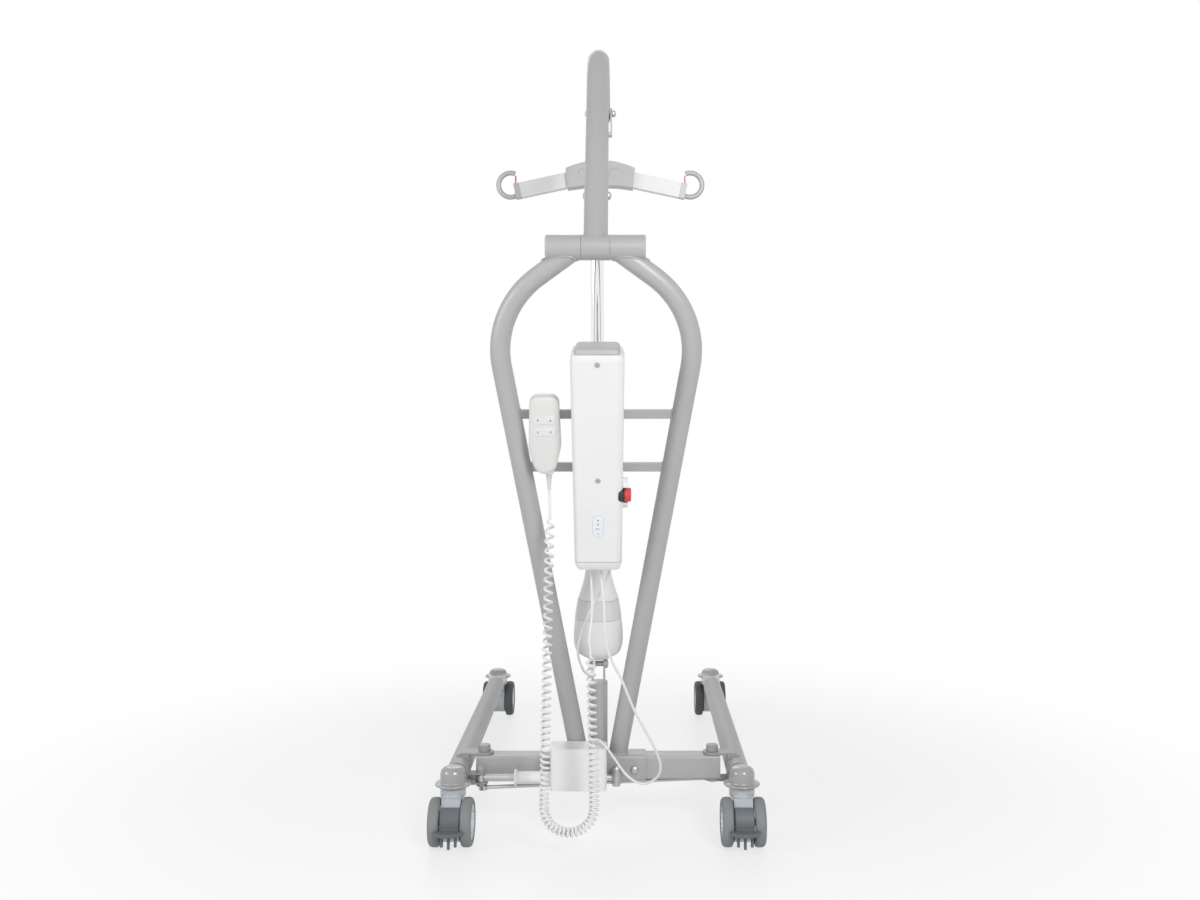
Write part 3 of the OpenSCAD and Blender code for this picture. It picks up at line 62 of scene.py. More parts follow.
# %% Shader expressions
class Wire:
    """An output socket of a material's node tree that takes part in arithmetic."""

    def __init__(self, tree, socket):
        self.tree = tree
        self.socket = socket

    def node(self, kind, settings=None, **inputs):
        """Makes a node: its settings, then its sockets by name, or as i0, i1 by number."""
        made = self.tree.nodes.new(kind)
        for key, value in (settings or {}).items():
            setattr(made, key, value)
        for key, value in inputs.items():
            name = key.replace("_", " ")
            spot = made.inputs[int(key[1:])] if key[1:].isdigit() else made.inputs[name]
            if isinstance(value, Wire):
                self.tree.links.new(value.socket, spot)
            else:
                spot.default_value = value
        return made

    def wire(self, kind, settings=None, out=0, **inputs):
        """Makes a node and wraps one of its outputs."""
        return Wire(self.tree, self.node(kind, settings, **inputs).outputs[out])

    def maths(self, operation, other, swap=False):
        a, b = (other, self) if swap else (self, other)
        return self.wire("ShaderNodeMath", {"operation": operation}, i0=a, i1=b)

    def __add__(self, other):
        return self.maths("ADD", other)

    __radd__ = __add__

    def __sub__(self, other):
        return self.maths("SUBTRACT", other)

    def __rsub__(self, other):
        return self.maths("SUBTRACT", other, swap=True)

    def __mul__(self, other):
        return self.maths("MULTIPLY", other)

    __rmul__ = __mul__

    def step(self, low, high):
        """0 below low, 1 above high, smooth between."""
        return self.wire("ShaderNodeMapRange", {"interpolation_type": "SMOOTHSTEP"},
                         Value=self, From_Min=low, From_Max=high)

    def noise(self, scale, detail=2.0, roughness=0.5):
        return self.wire("ShaderNodeTexNoise", Vector=self, Scale=scale, Detail=detail,
                         Roughness=roughness)

    def blend(self, dark, light):
        """A colour between two, with this wire as the share of the second."""
        return self.wire("ShaderNodeMix", {"data_type": "RGBA"}, out=2, i0=self,
                         i6=colour(dark), i7=colour(light))

    def axes(self):
        """The X, Y and Z of a vector, as three wires."""
        parts = self.node("ShaderNodeSeparateXYZ", Vector=self)
        return [Wire(self.tree, socket) for socket in parts.outputs]


def colour(value):
    """Leaves a wire as it is, and gives a colour its alpha."""
    return value if isinstance(value, Wire) else (*value[:3], 1.0)


def new_material(name):
    """An empty material: its shader node and a wire with the object's coordinates."""
    made = bpy.data.materials.new(name)
    made.use_nodes = True
    tree = made.node_tree
    shader = tree.nodes["Principled BSDF"]
    place = Wire(tree, tree.nodes.new("ShaderNodeTexCoord").outputs["Object"])
    return made, shader, place


def tint(shader, base, share, low, high):
    """Links a colour that moves with share from a darker to a lighter tone of base."""
    tone = share.blend([v * low for v in base], [min(v * high, 1.0) for v in base])
    shader.id_data.links.new(tone.socket, shader.inputs["Base Color"])


def finish_with(shader, place, roughness, height, strength, distance=0.0002, soft_edge=0.0006):
    """Links roughness, and a bump over edges that the Bevel node rounds off. Lengths in metres."""
    link = shader.id_data.links.new
    link(roughness.socket, shader.inputs["Roughness"])
    if soft_edge:
        round_edge = place.wire("ShaderNodeBevel", {"samples": 4}, Radius=soft_edge)
        normal = place.wire("ShaderNodeBump", Strength=strength, Distance=distance, Height=height,
                            Normal=round_edge)
        link(normal.socket, shader.inputs["Normal"])


# %% [markdown]
# The frame is powder coated steel. Powder flows out into a faint orange peel, its gloss varies
# a little, and a clear skin gives the sharp highlights along the tubes. Photographs of paint
# would need seams hidden, so noise at two scales does both, and the colour moves by only a few
# hundredths. Plated, polished and brushed metal follow the same pattern with other numbers.


# %% Paints and metals
def powder_coat(name, base, gloss=0.36, metallic=0.12, coat=0.05):
    made, shader, place = new_material(name)
    cloud = place.noise(6.0, 3.0)
    tint(shader, base, cloud, 0.93, 1.05)
    shader.inputs["Metallic"].default_value = metallic
    shader.inputs["Specular IOR Level"].default_value = 0.3
    shader.inputs["Coat Weight"].default_value = coat
    shader.inputs["Coat Roughness"].default_value = 0.12
    finish_with(shader, place, gloss + 0.1 * cloud, place.noise(900.0, 1.0),
                strength=0.12, distance=0.00015, soft_edge=0.001)
    return made


def plated(name, base):
    """Zinc or nickel plating: metal with faint cloudy patches."""
    made, shader, place = new_material(name)
    cloud = place.noise(60.0, 4.0)
    tint(shader, base, cloud, 0.85, 1.1)
    shader.inputs["Metallic"].default_value = 1.0
    finish_with(shader, place, 0.3 + 0.15 * cloud, place.noise(400.0),
                strength=0.08, distance=0.0001, soft_edge=0.0008)
    return made


def polished(name, base):
    """Hard chrome on the lifting rod, with the finest hairlines along it."""
    made, shader, place = new_material(name)
    x, y, z = place.axes()
    lines = place.wire("ShaderNodeCombineXYZ", X=x * 900.0, Y=y * 900.0, Z=z * 6.0).noise(1.0)
    shader.inputs["Base Color"].default_value = colour(base)
    shader.inputs["Metallic"].default_value = 1.0
    finish_with(shader, place, 0.06 + 0.06 * lines, lines, strength=0.03, distance=0.00005)
    return made


def brushed(name, base):
    """Anodised aluminium, brushed along X."""
    made, shader, place = new_material(name)
    x, y, z = place.axes()
    lines = place.wire("ShaderNodeCombineXYZ", X=x * 8.0, Y=y * 1400.0, Z=z * 1400.0).noise(1.0)
    tint(shader, base, lines, 0.93, 1.04)
    shader.inputs["Metallic"].default_value = 0.2
    shader.inputs["Specular IOR Level"].default_value = 0.3
    finish_with(shader, place, 0.45 + 0.1 * lines, lines,
                strength=0.06, distance=0.00005, soft_edge=0.0008)
    return made


# %% [markdown]
# The covers are moulded plastic with a fine spark-eroded grain. Rubber is rougher, dusty where
# it rolls, and never quite black. A displaced mesh could carry the grain, but at this size a
# bump is enough. One table says which maker a slot gets, and another what is special about it.


# %% Plastics and rubber
def moulded(name, base, gloss=0.45, depth=0.1, sheen=0.0, soft_edge=0.0009):
    made, shader, place = new_material(name)
    cloud = place.noise(9.0, 3.0)
    tint(shader, base, cloud, 0.97, 1.02)
    shader.inputs["Coat Weight"].default_value = sheen
    finish_with(shader, place, gloss + 0.08 * cloud, place.noise(1500.0, 1.0),
                strength=depth, distance=0.00012, soft_edge=soft_edge)
    return made


def rubber(name, base):
    made, shader, place = new_material(name)
    dust = place.noise(25.0, 5.0, 0.65).step(0.45, 0.75)
    tone = (dust * 0.35).blend(base, [v * 0.5 + 0.2 for v in base])
    shader.id_data.links.new(tone.socket, shader.inputs["Base Color"])
    finish_with(shader, place, 0.62 + 0.2 * dust, place.noise(700.0, 3.0),
                strength=0.25, soft_edge=0.0012)
    return made


makers = {
    "frame_paint": powder_coat, "leg_paint": powder_coat, "casting_paint": powder_coat,
    "hook_steel": powder_coat, "zinc_steel": plated, "chrome_rod": polished,
    "arm_aluminium": brushed, "tread_mid": rubber, "tread_dark": rubber,
}
extras = {
    "casting_paint": {"gloss": 0.16, "coat": 0.4}, "hook_steel": {"gloss": 0.38, "metallic": 0.2},
    "latch_red": {"gloss": 0.28, "sheen": 0.4}, "stop_red": {"gloss": 0.26, "sheen": 0.4},
    "caster_grey": {"gloss": 0.2, "sheen": 0.5, "depth": 0.03},
    "display_blue": {"gloss": 0.22, "sheen": 0.3}, "key_grey": {"gloss": 0.6, "depth": 0.05},
    "cover_white": {"gloss": 0.4, "depth": 0.07}, "black_plastic": {"gloss": 0.4},
    "cord_pale": {"gloss": 0.5, "soft_edge": 0},
}
finish = {}
for slot, base in colour_of.items():
    finish[slot] = makers.get(slot, moulded)(slot, base, **extras.get(slot, {}))
print("materials", len(finish))

# %% [markdown]
# The imported parts are loose triangles, which would show as facets. Their meshes have to stay as
# they are, so they aren't merged by hand. Instead a small node tree on each, as a modifier,
# merges the points and shades them smooth, except over edges sharper than 28 degrees: round tubes
# look round, and cut ends stay crisp.


# %% Smooth shading for the imported parts
SHARP = 28


def new_tree(name, **inputs):
    """An empty node tree from geometry to geometry, with further named inputs."""
    tree = bpy.data.node_groups.new(name, "GeometryNodeTree")
    for title, kind in {"Geometry": "Geometry", **inputs}.items():
        tree.interface.new_socket(title, in_out="INPUT", socket_type="NodeSocket" + kind)
    tree.interface.new_socket("Geometry", in_out="OUTPUT", socket_type="NodeSocketGeometry")
    add = tree.nodes.new
    return tree, add, tree.links.new, add("NodeGroupInput"), add("NodeGroupOutput")


def shading_tree(limit):
    tree, add, link, start, end = new_tree("shade_by_angle")
    merge = add("GeometryNodeMergeByDistance")
    merge.inputs["Distance"].default_value = 1e-6
    angle = add("GeometryNodeInputMeshEdgeAngle")
    under = add("FunctionNodeCompare")
    under.operation = "LESS_THAN"
    under.inputs["B"].default_value = limit
    faces = add("GeometryNodeSetShadeSmooth")
    edges = add("GeometryNodeSetShadeSmooth")
    edges.domain = "EDGE"
    link(start.outputs[0], merge.inputs["Geometry"])
    link(merge.outputs[0], faces.inputs["Geometry"])
    link(faces.outputs[0], edges.inputs["Geometry"])
    link(angle.outputs["Unsigned Angle"], under.inputs["A"])
    link(under.outputs[0], edges.inputs["Shade Smooth"])
    link(edges.outputs[0], end.inputs[0])
    return tree


smooth_tree = shading_tree(math.radians(SHARP))
for name, node in nodes.items():
    node.data.materials.clear()
    node.data.materials.append(finish[slot_of[name]])
    node.modifiers.new("shade", "NODES").node_group = smooth_tree
print("parts shaded", len(nodes))

# %% [markdown]
# The camera stands behind the lift at hip height. Tilted down it would frame the lift as well,
# but then the mast would seem to lean, so it looks level and a small lens shift moves the
# frame down and aside instead.

# %% Camera
camera = bpy.data.objects.new("camera", bpy.data.cameras.new("camera"))
bpy.context.scene.collection.objects.link(camera)
camera.location = (0.0467, -3.030, 0.875)
camera.rotation_euler = (math.radians(90), 0, 0)
camera.data.sensor_width = 36
camera.data.lens = 36.78
camera.data.shift_x = -0.0165
camera.data.shift_y = -0.02167
bpy.context.scene.camera = camera

# %% [markdown]
# The lift stands in a white studio: an even world, a soft key lamp over the camera's right
# shoulder that draws a bright stripe along the round tubes, a weaker one on the left, and one
# from the front. A backdrop sheet would need lamps of its own. Here camera and mirror rays see
# plain white instead, and near the lift the floor keeps a share of its shadow.


# %% Studio
def soft_lamp(name, place, aim, size, watts):
    lamp = bpy.data.objects.new(name, bpy.data.lights.new(name, "AREA"))
    lamp.data.size = size
    lamp.data.energy = watts
    lamp.location = place
    lamp.rotation_euler = (Vector(aim) - Vector(place)).to_track_quat("-Z", "Y").to_euler()
    bpy.context.scene.collection.objects.link(lamp)


def white_to_camera(tree, out, lit_shader, white_kind, share=1.0):
    """Mixes a shader with plain white, as camera, mirror and glass rays see it."""
    path = tree.nodes.new("ShaderNodeLightPath")
    rays = Wire(tree, path.outputs["Is Camera Ray"])
    for kind in ("Is Glossy Ray", "Is Transmission Ray"):
        rays = rays.maths("MAXIMUM", Wire(tree, path.outputs[kind]))
    white = tree.nodes.new(white_kind)
    white.inputs[0].default_value = (1, 1, 1, 1)
    mix = tree.nodes.new("ShaderNodeMixShader")
    tree.links.new((rays * share).socket, mix.inputs[0])
    tree.links.new(lit_shader, mix.inputs[1])
    tree.links.new(white.outputs[0], mix.inputs[2])
    tree.links.new(mix.outputs[0], out)


def white_world(strength):
    world = bpy.data.worlds.new("studio")
    world.use_nodes = True
    tree = world.node_tree
    sky = tree.nodes["Background"]
    sky.inputs["Color"].default_value = (0.95, 0.97, 1.0, 1)
    sky.inputs["Strength"].default_value = strength
    white_to_camera(tree, tree.nodes["World Output"].inputs[0], sky.outputs[0], "ShaderNodeBackground")
    bpy.context.scene.world = world


def white_floor(radius, below):
    bpy.ops.mesh.primitive_circle_add(vertices=96, radius=radius, fill_type="NGON",
                                      location=(0, 0, -below))
    floor = bpy.context.object
    floor.name = "floor"
    made, shader, place = new_material("floor_white")
    shader.inputs["Base Color"].default_value = (0.86, 0.86, 0.86, 1)
    finish_with(shader, place, 0.35 + 0.1 * place.noise(3.0), place.noise(40.0), strength=0.02)
    x, y = place.axes()[:2]
    reach = (x * x + y * y).maths("SQRT", 0.0)
    tree = made.node_tree
    white_to_camera(tree, tree.nodes["Material Output"].inputs[0], shader.outputs[0],
                    "ShaderNodeEmission", share=0.7 + 0.3 * reach.step(0.5, 1.8))
    floor.data.materials.append(made)


white_world(strength=0.34)
white_floor(radius=30, below=0.0005)
soft_lamp("key", place=(1.1, -3.1, 2.0), aim=(0, -0.3, 0.9), size=0.8, watts=48)
soft_lamp("fill", place=(-2.6, -1.8, 1.5), aim=(0, -0.3, 0.8), size=1.4, watts=26)
soft_lamp("front", place=(-0.5, 3.2, 2.8), aim=(0, 0, 0.8), size=2.2, watts=24)
bpy.context.scene.view_settings.view_transform = "Standard"


# %% [markdown]
# Three cords come from the box. Each is a round line of fixed length, so each is one open curve
# with a round bevel, which keeps its width through every bend. A ring extruded along the route
# would do the same in more steps.


# %% Cord helpers
CORD_D = 5.3


def add_cord(name, points, nodes_replaced):
    """A free cable as one open curve through points in millimetres."""
    curve = bpy.data.curves.new(name, "CURVE")
    curve.dimensions = "3D"
    curve.bevel_depth = CORD_D / 2 * MM
    curve.bevel_resolution = 3
    curve.use_fill_caps = True
    line = curve.splines.new("POLY")
    line.points.add(len(points) - 1)
    for spot, p in zip(line.points, points):
        spot.co = (*(Vector(p) * MM), 1)
    line.use_smooth = True
    cable = bpy.data.objects.new(name, curve)
    bpy.context.scene.collection.objects.link(cable)
    cable.data.materials.append(finish["cord_pale"])
    length = sum((Vector(b) - Vector(a)).length for a, b in zip(points, points[1:])) * MM
    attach(cable, "root")
    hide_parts(*nodes_replaced)
    print(name, "length", round(length, 3), "points", len(points))
    return cable, length


def through(points, steps):
    """A smooth line through chosen points, a few steps between each pair."""
    line = []
    last = len(points) - 1
    for i in range(last):
        a, b, c, d = (Vector(points[min(max(k, 0), last)]) for k in (i - 1, i, i + 1, i + 2))
        for k in range(steps):
            s = k / steps
            line.append(0.5 * (2 * b + (c - a) * s + (2 * a - 5 * b + 4 * c - d) * s * s
                               + (3 * b - a - 3 * c + d) * s ** 3))
    return line + [Vector(points[last])]


# %% [markdown]
# The handset's cord is a curly cord: it hangs from the handset, turns near the floor and climbs
# back to the box. A spring simulation could hang it, but the line that it follows is known, so
# a formula winds the curls around that line, and their count stays exact. Curls sit closer
# where less cord hangs below them. The two plain tails are part of the same curve, because it
# is one piece of cable.

# %% The curly cord
handset_tail = [(-95, -565.9, 743.2), (-95, -564.2, 737.5), (-95, -562.4, 728), (-94.4, -562, 713),
                (-94, -562, 702), (-94, -562, 695.3)]
box_tail = [(-12, -562, 416.3), (-12, -562, 423), (-15, -561, 437), (-13, -557, 457), (-9.5, -550, 487),
            (-9.5, -544, 520), (-11, -541, 552), (-11.5, -541.8, 580.3), (-11.5, -543.5, 586)]
COIL_Y = -562
COIL_TOP, COIL_LEFT = Vector((-94, 690)), Vector((-106, 103))
COIL_RIGHT, COIL_END = Vector((-5, 103)), Vector((-12, 411))
CURLS = (40, 18, 24)
CURL_D = 21
CLOSE_PITCH = 8.7
bend_r = (COIL_RIGHT - COIL_LEFT)[0] / 2
runs = ((COIL_LEFT - COIL_TOP).length, math.pi * bend_r, (COIL_END - COIL_RIGHT).length)
curl_total = sum(CURLS)


def sag(x, close):
    """How much of a run x of its curls take up, while their pitch falls to the share close."""
    return 1 - (1 - x) * (close + (1 - close) * (1 - x))


def curl_place(n):
    """How far along the hanging line the nth curl lies."""
    down, turn, up = CURLS
    if n <= down:
        return runs[0] * sag(n / down, CLOSE_PITCH * down / runs[0])
    if n <= down + turn:
        return runs[0] + runs[1] * (n - down) / turn
    return runs[0] + runs[1] + runs[2] * (1 - sag((curl_total - n) / up, CLOSE_PITCH * up / runs[2]))


def hanging_line(s):
    if s <= runs[0]:
        spot = COIL_TOP + (COIL_LEFT - COIL_TOP) * (s / runs[0])
    elif s <= runs[0] + runs[1]:
        angle = (s - runs[0]) / bend_r
        spot = (COIL_LEFT + COIL_RIGHT) / 2 - bend_r * Vector((math.cos(angle), math.sin(angle)))
    else:
        spot = COIL_RIGHT + (COIL_END - COIL_RIGHT) * ((s - runs[0] - runs[1]) / runs[2])
    return Vector((spot[0], COIL_Y, spot[1]))


def curl_point(n):
    s = curl_place(n)
    along = (hanging_line(s + 1) - hanging_line(s - 1)).normalized()
    across = along.cross(Vector((0, 1, 0)))
    reach = (CURL_D - CORD_D) / 2 * min(1, n, curl_total - n)
    angle = 2 * math.pi * n
    return hanging_line(s) + reach * (math.cos(angle) * across + math.sin(angle) * Vector((0, 1, 0)))


POINTS_PER_CURL = 14
curl_points = [curl_point(k / POINTS_PER_CURL) for k in range(curl_total * POINTS_PER_CURL + 1)]
cord_points = through(handset_tail, steps=3)[:-1] + curl_points + through(box_tail, steps=3)[1:]
handset_cord, cord_length = add_cord("handset_cord", cord_points,
                                     ["handset_cord_coil", "handset_cord_ends"])

# %% [markdown]
# Two plain cables leave the box's foot. The longer one goes round to the leg actuator, the
# shorter one to the lifting motor. Rope physics would let them sag by themselves. Points chosen
# along the hang, with a smooth line through them, give the same bow and keep the length true.

# %% The two actuator cables
leg_route = [(8.5, -543.5, 586), (8.5, -542.65, 583.15), (8.5, -541.8, 580.3), (9, -543, 566),
             (11, -546, 545), (15, -551, 503), (17, -553, 459), (22, -552, 421), (31, -549, 394),
             (50, -543, 357), (77, -535, 291), (101, -525, 244), (119, -515, 208), (130, -505, 177),
             (128, -493, 150), (114, -482, 133), (97, -474, 125), (78, -466, 128), (57, -458, 143),
             (36, -452, 171), (14, -446, 199), (-2, -432, 207), (-8, -420, 200), (-8, -418.8, 192),
             (-8, -418.8, 188), (-8, -418.8, 184)]
motor_route = [(25, -543.5, 586), (25, -541.8, 580.3), (23, -538, 568), (15, -532, 548), (4, -526, 527),
               (-10, -518, 500), (-23, -506, 469), (-34, -489, 438), (-41, -470, 407), (-39, -447, 379),
               (-30, -424, 351), (-19, -402, 337), (-11, -387, 342), (-9, -382, 356), (-9, -383, 369)]
for name, route in (("leg_cable", leg_route), ("motor_cable", motor_route)):
    cable, length = add_cord(name + "_line", through(route, steps=6), [name])

# %% [markdown]
# The moulded and turned pieces get meshes of their own. Primitive shapes and modifiers could be
# stacked into them, but three helpers make nearly all of them with exact sizes: rows of points
# joined into a skin, an outline turned around an axis, and a flat outline given a thickness.
# They work in millimetres in the piece's own frame, and a matrix places the mesh.


# %% Places and mesh helpers
def shift(x, y, z):
    return Matrix.Translation((x, y, z))


def turned(degrees, axis):
    return Matrix.Rotation(math.radians(degrees), 4, axis)


BEAM_Y, SLEEVE_TOP = -355.751, 161
MAST_FOOT_Z, MAST_LEAN = 158, 16.8
LIFT_Y, LIFT_FOOT_Z, LIFT_LEAN = BEAM_Y + 4, 352, 9.4153
FLIP_X = Matrix.Scale(-1, 4, (1, 0, 0))
ON_MAST = shift(0, BEAM_Y, MAST_FOOT_Z) @ turned(MAST_LEAN, "X")
ON_LIFT = shift(0, LIFT_Y, LIFT_FOOT_Z) @ turned(LIFT_LEAN, "X")


def around(steps):
    """Evenly spaced angles around a full turn."""
    return [2 * math.pi * i / steps for i in range(steps)]


def skin(bm, rows, paint=0):
    """Joins rows of points into a skin. A row of one point closes it to a pole."""
    made = [[bm.verts.new(p) for p in row] for row in rows]
    for a, b in zip(made, made[1:]):
        count = max(len(a), len(b))
        for i in range(count):
            j = (i + 1) % count
            if len(a) == 1:
                corners = (a[0], b[j], b[i])
            elif len(b) == 1:
                corners = (a[i], a[j], b[0])
            else:
                corners = (a[i], a[j], b[j], b[i])
            bm.faces.new(corners).material_index = paint
    return made


def spin(bm, outline, paint=0, steps=72):
    """Turns an outline of (radius, height) points around Z."""
    skin(bm, [[Vector((r * math.cos(a), r * math.sin(a), z)) for a in (around(steps) if r else [0])]
              for r, z in outline], paint)


def inset(outline, by):
    """An outline of (x, y) points drawn in along its normals."""
    result = []
    for i, (x, y) in enumerate(outline):
        before = Vector(outline[i - 1])
        after = Vector(outline[(i + 1) % len(outline)])
        along = (after - before).normalized()
        result.append((x - along[1] * by, y + along[0] * by))
    return result


def slab(bm, outline, low, high, soft=0.0, paint=0):
    """Gives a flat outline a thickness along Z, with its upper rim rounded by soft."""
    levels = [(0, low), (0, high - soft)]
    if soft:
        levels += [(soft * (1 - math.cos(a)), high - soft * (1 - math.sin(a)))
                   for a in (math.radians(d) for d in (22.5, 45, 67.5, 90))]
    rows = skin(bm, [[Vector((x, y, z)) for x, y in inset(outline, by)] for by, z in levels], paint)
    for row in (rows[0], rows[-1]):
        bm.faces.new(row).material_index = paint


def rounded_rect(w, h, r, steps=6):
    points = []
    for k, (cx, cy) in enumerate(((1, 1), (-1, 1), (-1, -1), (1, -1))):
        for i in range(steps + 1):
            a = math.pi / 2 * (k + i / steps)
            points.append((cx * (w / 2 - r) + r * math.cos(a), cy * (h / 2 - r) + r * math.sin(a)))
    return points


def stamp(bm, source, matrix):
    """Adds a copy of a mesh, put in place by a matrix."""
    copy = bpy.data.meshes.new("stamp")
    source.to_mesh(copy)
    copy.transform(matrix)
    bm.from_mesh(copy)
    bpy.data.meshes.remove(copy)


def finished_piece(name, bm, place, body, slots, replaced=(), crease=35):
    """Puts a mesh in its place in metres, and makes it a piece that rides on a body."""
    bm.transform(Matrix.Scale(MM, 4) @ place)
    bmesh.ops.remove_doubles(bm, verts=bm.verts, dist=1e-6)
    bmesh.ops.recalc_face_normals(bm, faces=bm.faces)
    for face in bm.faces:
        face.smooth = True
    for edge in bm.edges:
        edge.smooth = edge.calc_face_angle(0) < math.radians(crease)
    mesh = bpy.data.meshes.new(name)
    bm.to_mesh(mesh)
    bm.free()
    made = bpy.data.objects.new(name, mesh)
    bpy.context.scene.collection.objects.link(made)
    for slot in slots:
        mesh.materials.append(finish[slot])
    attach(made, body)
    if replaced:
        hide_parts(*replaced)
    print(name, "faces", len(mesh.polygons))


# %% [markdown]
# Two imported parts hold two finishes each, such as the white case of the leg actuator and the
# bare steel at both ends of it. Their meshes stay whole, so a mask along X decides which finish
# a point gets. A dark line across the box's cover is painted shade in the seam where its lower
# part meets the upper, placed the same way along the mast.


# %% Parts with two finishes
BLUR = 0.0001
# Where along the mast the painted shade of the cover's seam lies, and its grey
COVER_SEAM_SHADE = (0.4909, 0.4921)
SEAM_SHADE_GREY = [0.6, 0.6, 0.6]
CASE_PAINT = (-0.2, 0.0202)
GLAND_BLACK = (-0.05, -0.0195)


def two_finishes(name, inner, outer, low, high, outer_metal=0.0):
    """The inner colour between two places along X in metres, and the outer one past them."""
    made, shader, place = new_material(name)
    x = place.axes()[0]
    inside = x.step(low - BLUR, low + BLUR) * (1 - x.step(high - BLUR, high + BLUR))
    link = shader.id_data.links.new
    link(inside.blend(outer, inner).socket, shader.inputs["Base Color"])
    link(((1 - inside) * outer_metal).socket, shader.inputs["Metallic"])
    finish_with(shader, place, 0.34 + 0.12 * place.noise(60.0, 3.0), place.noise(1200.0), strength=0.06)
    return made


def with_seam_shade(name, base, low, high):
    """Moulded plastic with a dark line of painted shade between two heights along the mast, in metres."""
    made = moulded(name, base, gloss=0.4, depth=0.07)
    tree = made.node_tree
    base_colour = tree.nodes["Principled BSDF"].inputs["Base Color"]
    tone = Wire(tree, base_colour.links[0].from_socket)
    place = Wire(tree, tree.nodes["Texture Coordinate"].outputs["Object"])
    y, z = place.axes()[1:]
    lean = math.radians(MAST_LEAN)
    along = (z - MAST_FOOT_Z * MM) * math.cos(lean) - (y - BEAM_Y * MM) * math.sin(lean)
    # The band between the two heights is painted shade, as in the seam's groove.
    line = along.step(low - 2 * BLUR, low) * (1 - along.step(high, high + 2 * BLUR))
    tree.links.new(line.blend(tone, SEAM_SHADE_GREY).socket, base_colour)
    return made


nodes["control_box_cover"].data.materials[0] = with_seam_shade(
    "cover_seam_shade", colour_of["cover_white"], *COVER_SEAM_SHADE)
nodes["leg_actuator_case"].data.materials[0] = two_finishes(
    "actuator_case", colour_of["cover_white"], colour_of["zinc_steel"], *CASE_PAINT, outer_metal=1.0)
nodes["cable_glands"].data.materials[0] = two_finishes(
    "gland_and_plug", colour_of["black_plastic"], colour_of["cover_white"], *GLAND_BLACK)

# %% [markdown]
# The castings over the casters and the caster housings are cast or moulded in one go, so
# nothing on them has a sharp inner corner. Rounding every edge by hand would take long. A voxel
# remesh welds each part's shapes into one skin, and a smoothing pass rounds its corners off, as
# the mould would.


# %% Soft castings
def soften(name, voxel, passes):
    node = nodes[name]
    remesh = node.modifiers.new("one_skin", "REMESH")
    remesh.mode = "VOXEL"
    remesh.voxel_size = voxel
    remesh.use_smooth_shade = True
    smooth = node.modifiers.new("soft_corners", "SMOOTH")
    smooth.factor = 0.5
    smooth.iterations = passes


for side in ("left", "right"):
    soften("leg_castings_" + side, voxel=0.0016, passes=7)
    for end in ("front", "rear"):
        soften(f"{end}_caster_{side}", voxel=0.0014, passes=4)
    soften("brake_pedal_" + side, voxel=0.001, passes=3)

# %% [markdown]
# Shallow ribs run over the disc of each wheel like spokes. A loop could copy one rib, but a
# node tree does it for any count: it makes one point per rib and turns each copy by its index.


# %% Ribs around an axle
def repeat_tree():
    tree, add, link, start, end = new_tree("repeat_around", Count="Int", Material="Material")
    points = add("GeometryNodePoints")
    index = add("GeometryNodeInputIndex")
    share = add("ShaderNodeMath")
    share.operation = "DIVIDE"
    angle = add("ShaderNodeMath")
    angle.operation = "MULTIPLY"
    angle.inputs[1].default_value = 2 * math.pi
    turn = add("ShaderNodeCombineXYZ")
    place = add("GeometryNodeInstanceOnPoints")
    real = add("GeometryNodeRealizeInstances")
    paint = add("GeometryNodeSetMaterial")
    link(start.outputs["Count"], points.inputs["Count"])
    link(index.outputs[0], share.inputs[0])
    link(start.outputs["Count"], share.inputs[1])
    link(share.outputs[0], angle.inputs[0])
    link(angle.outputs[0], turn.inputs["Z"])
    link(points.outputs[0], place.inputs["Points"])
    link(start.outputs["Geometry"], place.inputs["Instance"])
    link(turn.outputs[0], place.inputs["Rotation"])
    link(place.outputs[0], real.inputs[0])
    link(real.outputs[0], paint.inputs["Geometry"])
    link(start.outputs["Material"], paint.inputs["Material"])
    link(paint.outputs[0], end.inputs[0])
    return tree


def baked(bm, tree, **values):
    """Runs a node tree on a mesh and returns the plain mesh that it makes."""
    mesh = bpy.data.meshes.new("work")
    bm.to_mesh(mesh)
    bm.free()
    work = bpy.data.objects.new("work", mesh)
    bpy.context.scene.collection.objects.link(work)
    modifier = work.modifiers.new("tree", "NODES")
    modifier.node_group = tree
    for item in tree.interface.items_tree:
        if item.in_out == "INPUT" and item.name in values:
            modifier[item.identifier] = values[item.name]
    bpy.context.view_layer.update()
    graph = bpy.context.evaluated_depsgraph_get()
    result = bpy.data.meshes.new_from_object(work.evaluated_get(graph))
    bpy.data.objects.remove(work)
    return result


repeat_around = repeat_tree()

# %% [markdown]
# Each caster has two wheels: a soft tread with full shoulders around a pale disc that sits a
# little back. Both are turned outlines, as on a lathe, which sets every radius at once. Cutting
# them from cylinders would need a cut for each step. One wheel is made and stamped eight times.

# %% Wheels
WHEEL_R, WHEEL_GAP, TRAIL = 50, 44, 25
TREAD = [(38, 2), (38.6, 0.6), (40, 0), (44, 0), (47.5, 1.2), (49.4, 3.6), (50, 7), (50, 14),
         (49.4, 17.5), (47.6, 20.6), (44.6, 22.6), (41.5, 23), (39.6, 22.7), (38.8, 21.8), (38.6, 20.2),
         (38, 2)]
DISC = [(8, 3), (38.1, 3), (38.1, 19.6), (37.6, 20.6), (35.5, 21.0), (18, 22.2), (15.4, 22.1),
        (14.8, 21.2), (13.6, 20.9), (12.6, 21.6), (11.6, 22.6), (8, 22.9), (0, 23)]
RIB_COUNT, RIB_AT, RIB_LEN, RIB_W = 14, 26.5, 15, 1.6
RIB_FOOT, RIB_TOP = 20.6, 22.5
PIVOT_X, LEG_SPLAY = 248, 1
WHEELBASE, OVERHANG = 1100, 106
LEG_OUT, REAR_OUT = 52, 56
SWIVEL_AT = {"rear": (REAR_OUT, -OVERHANG), "front": (LEG_OUT, WHEELBASE - OVERHANG)}


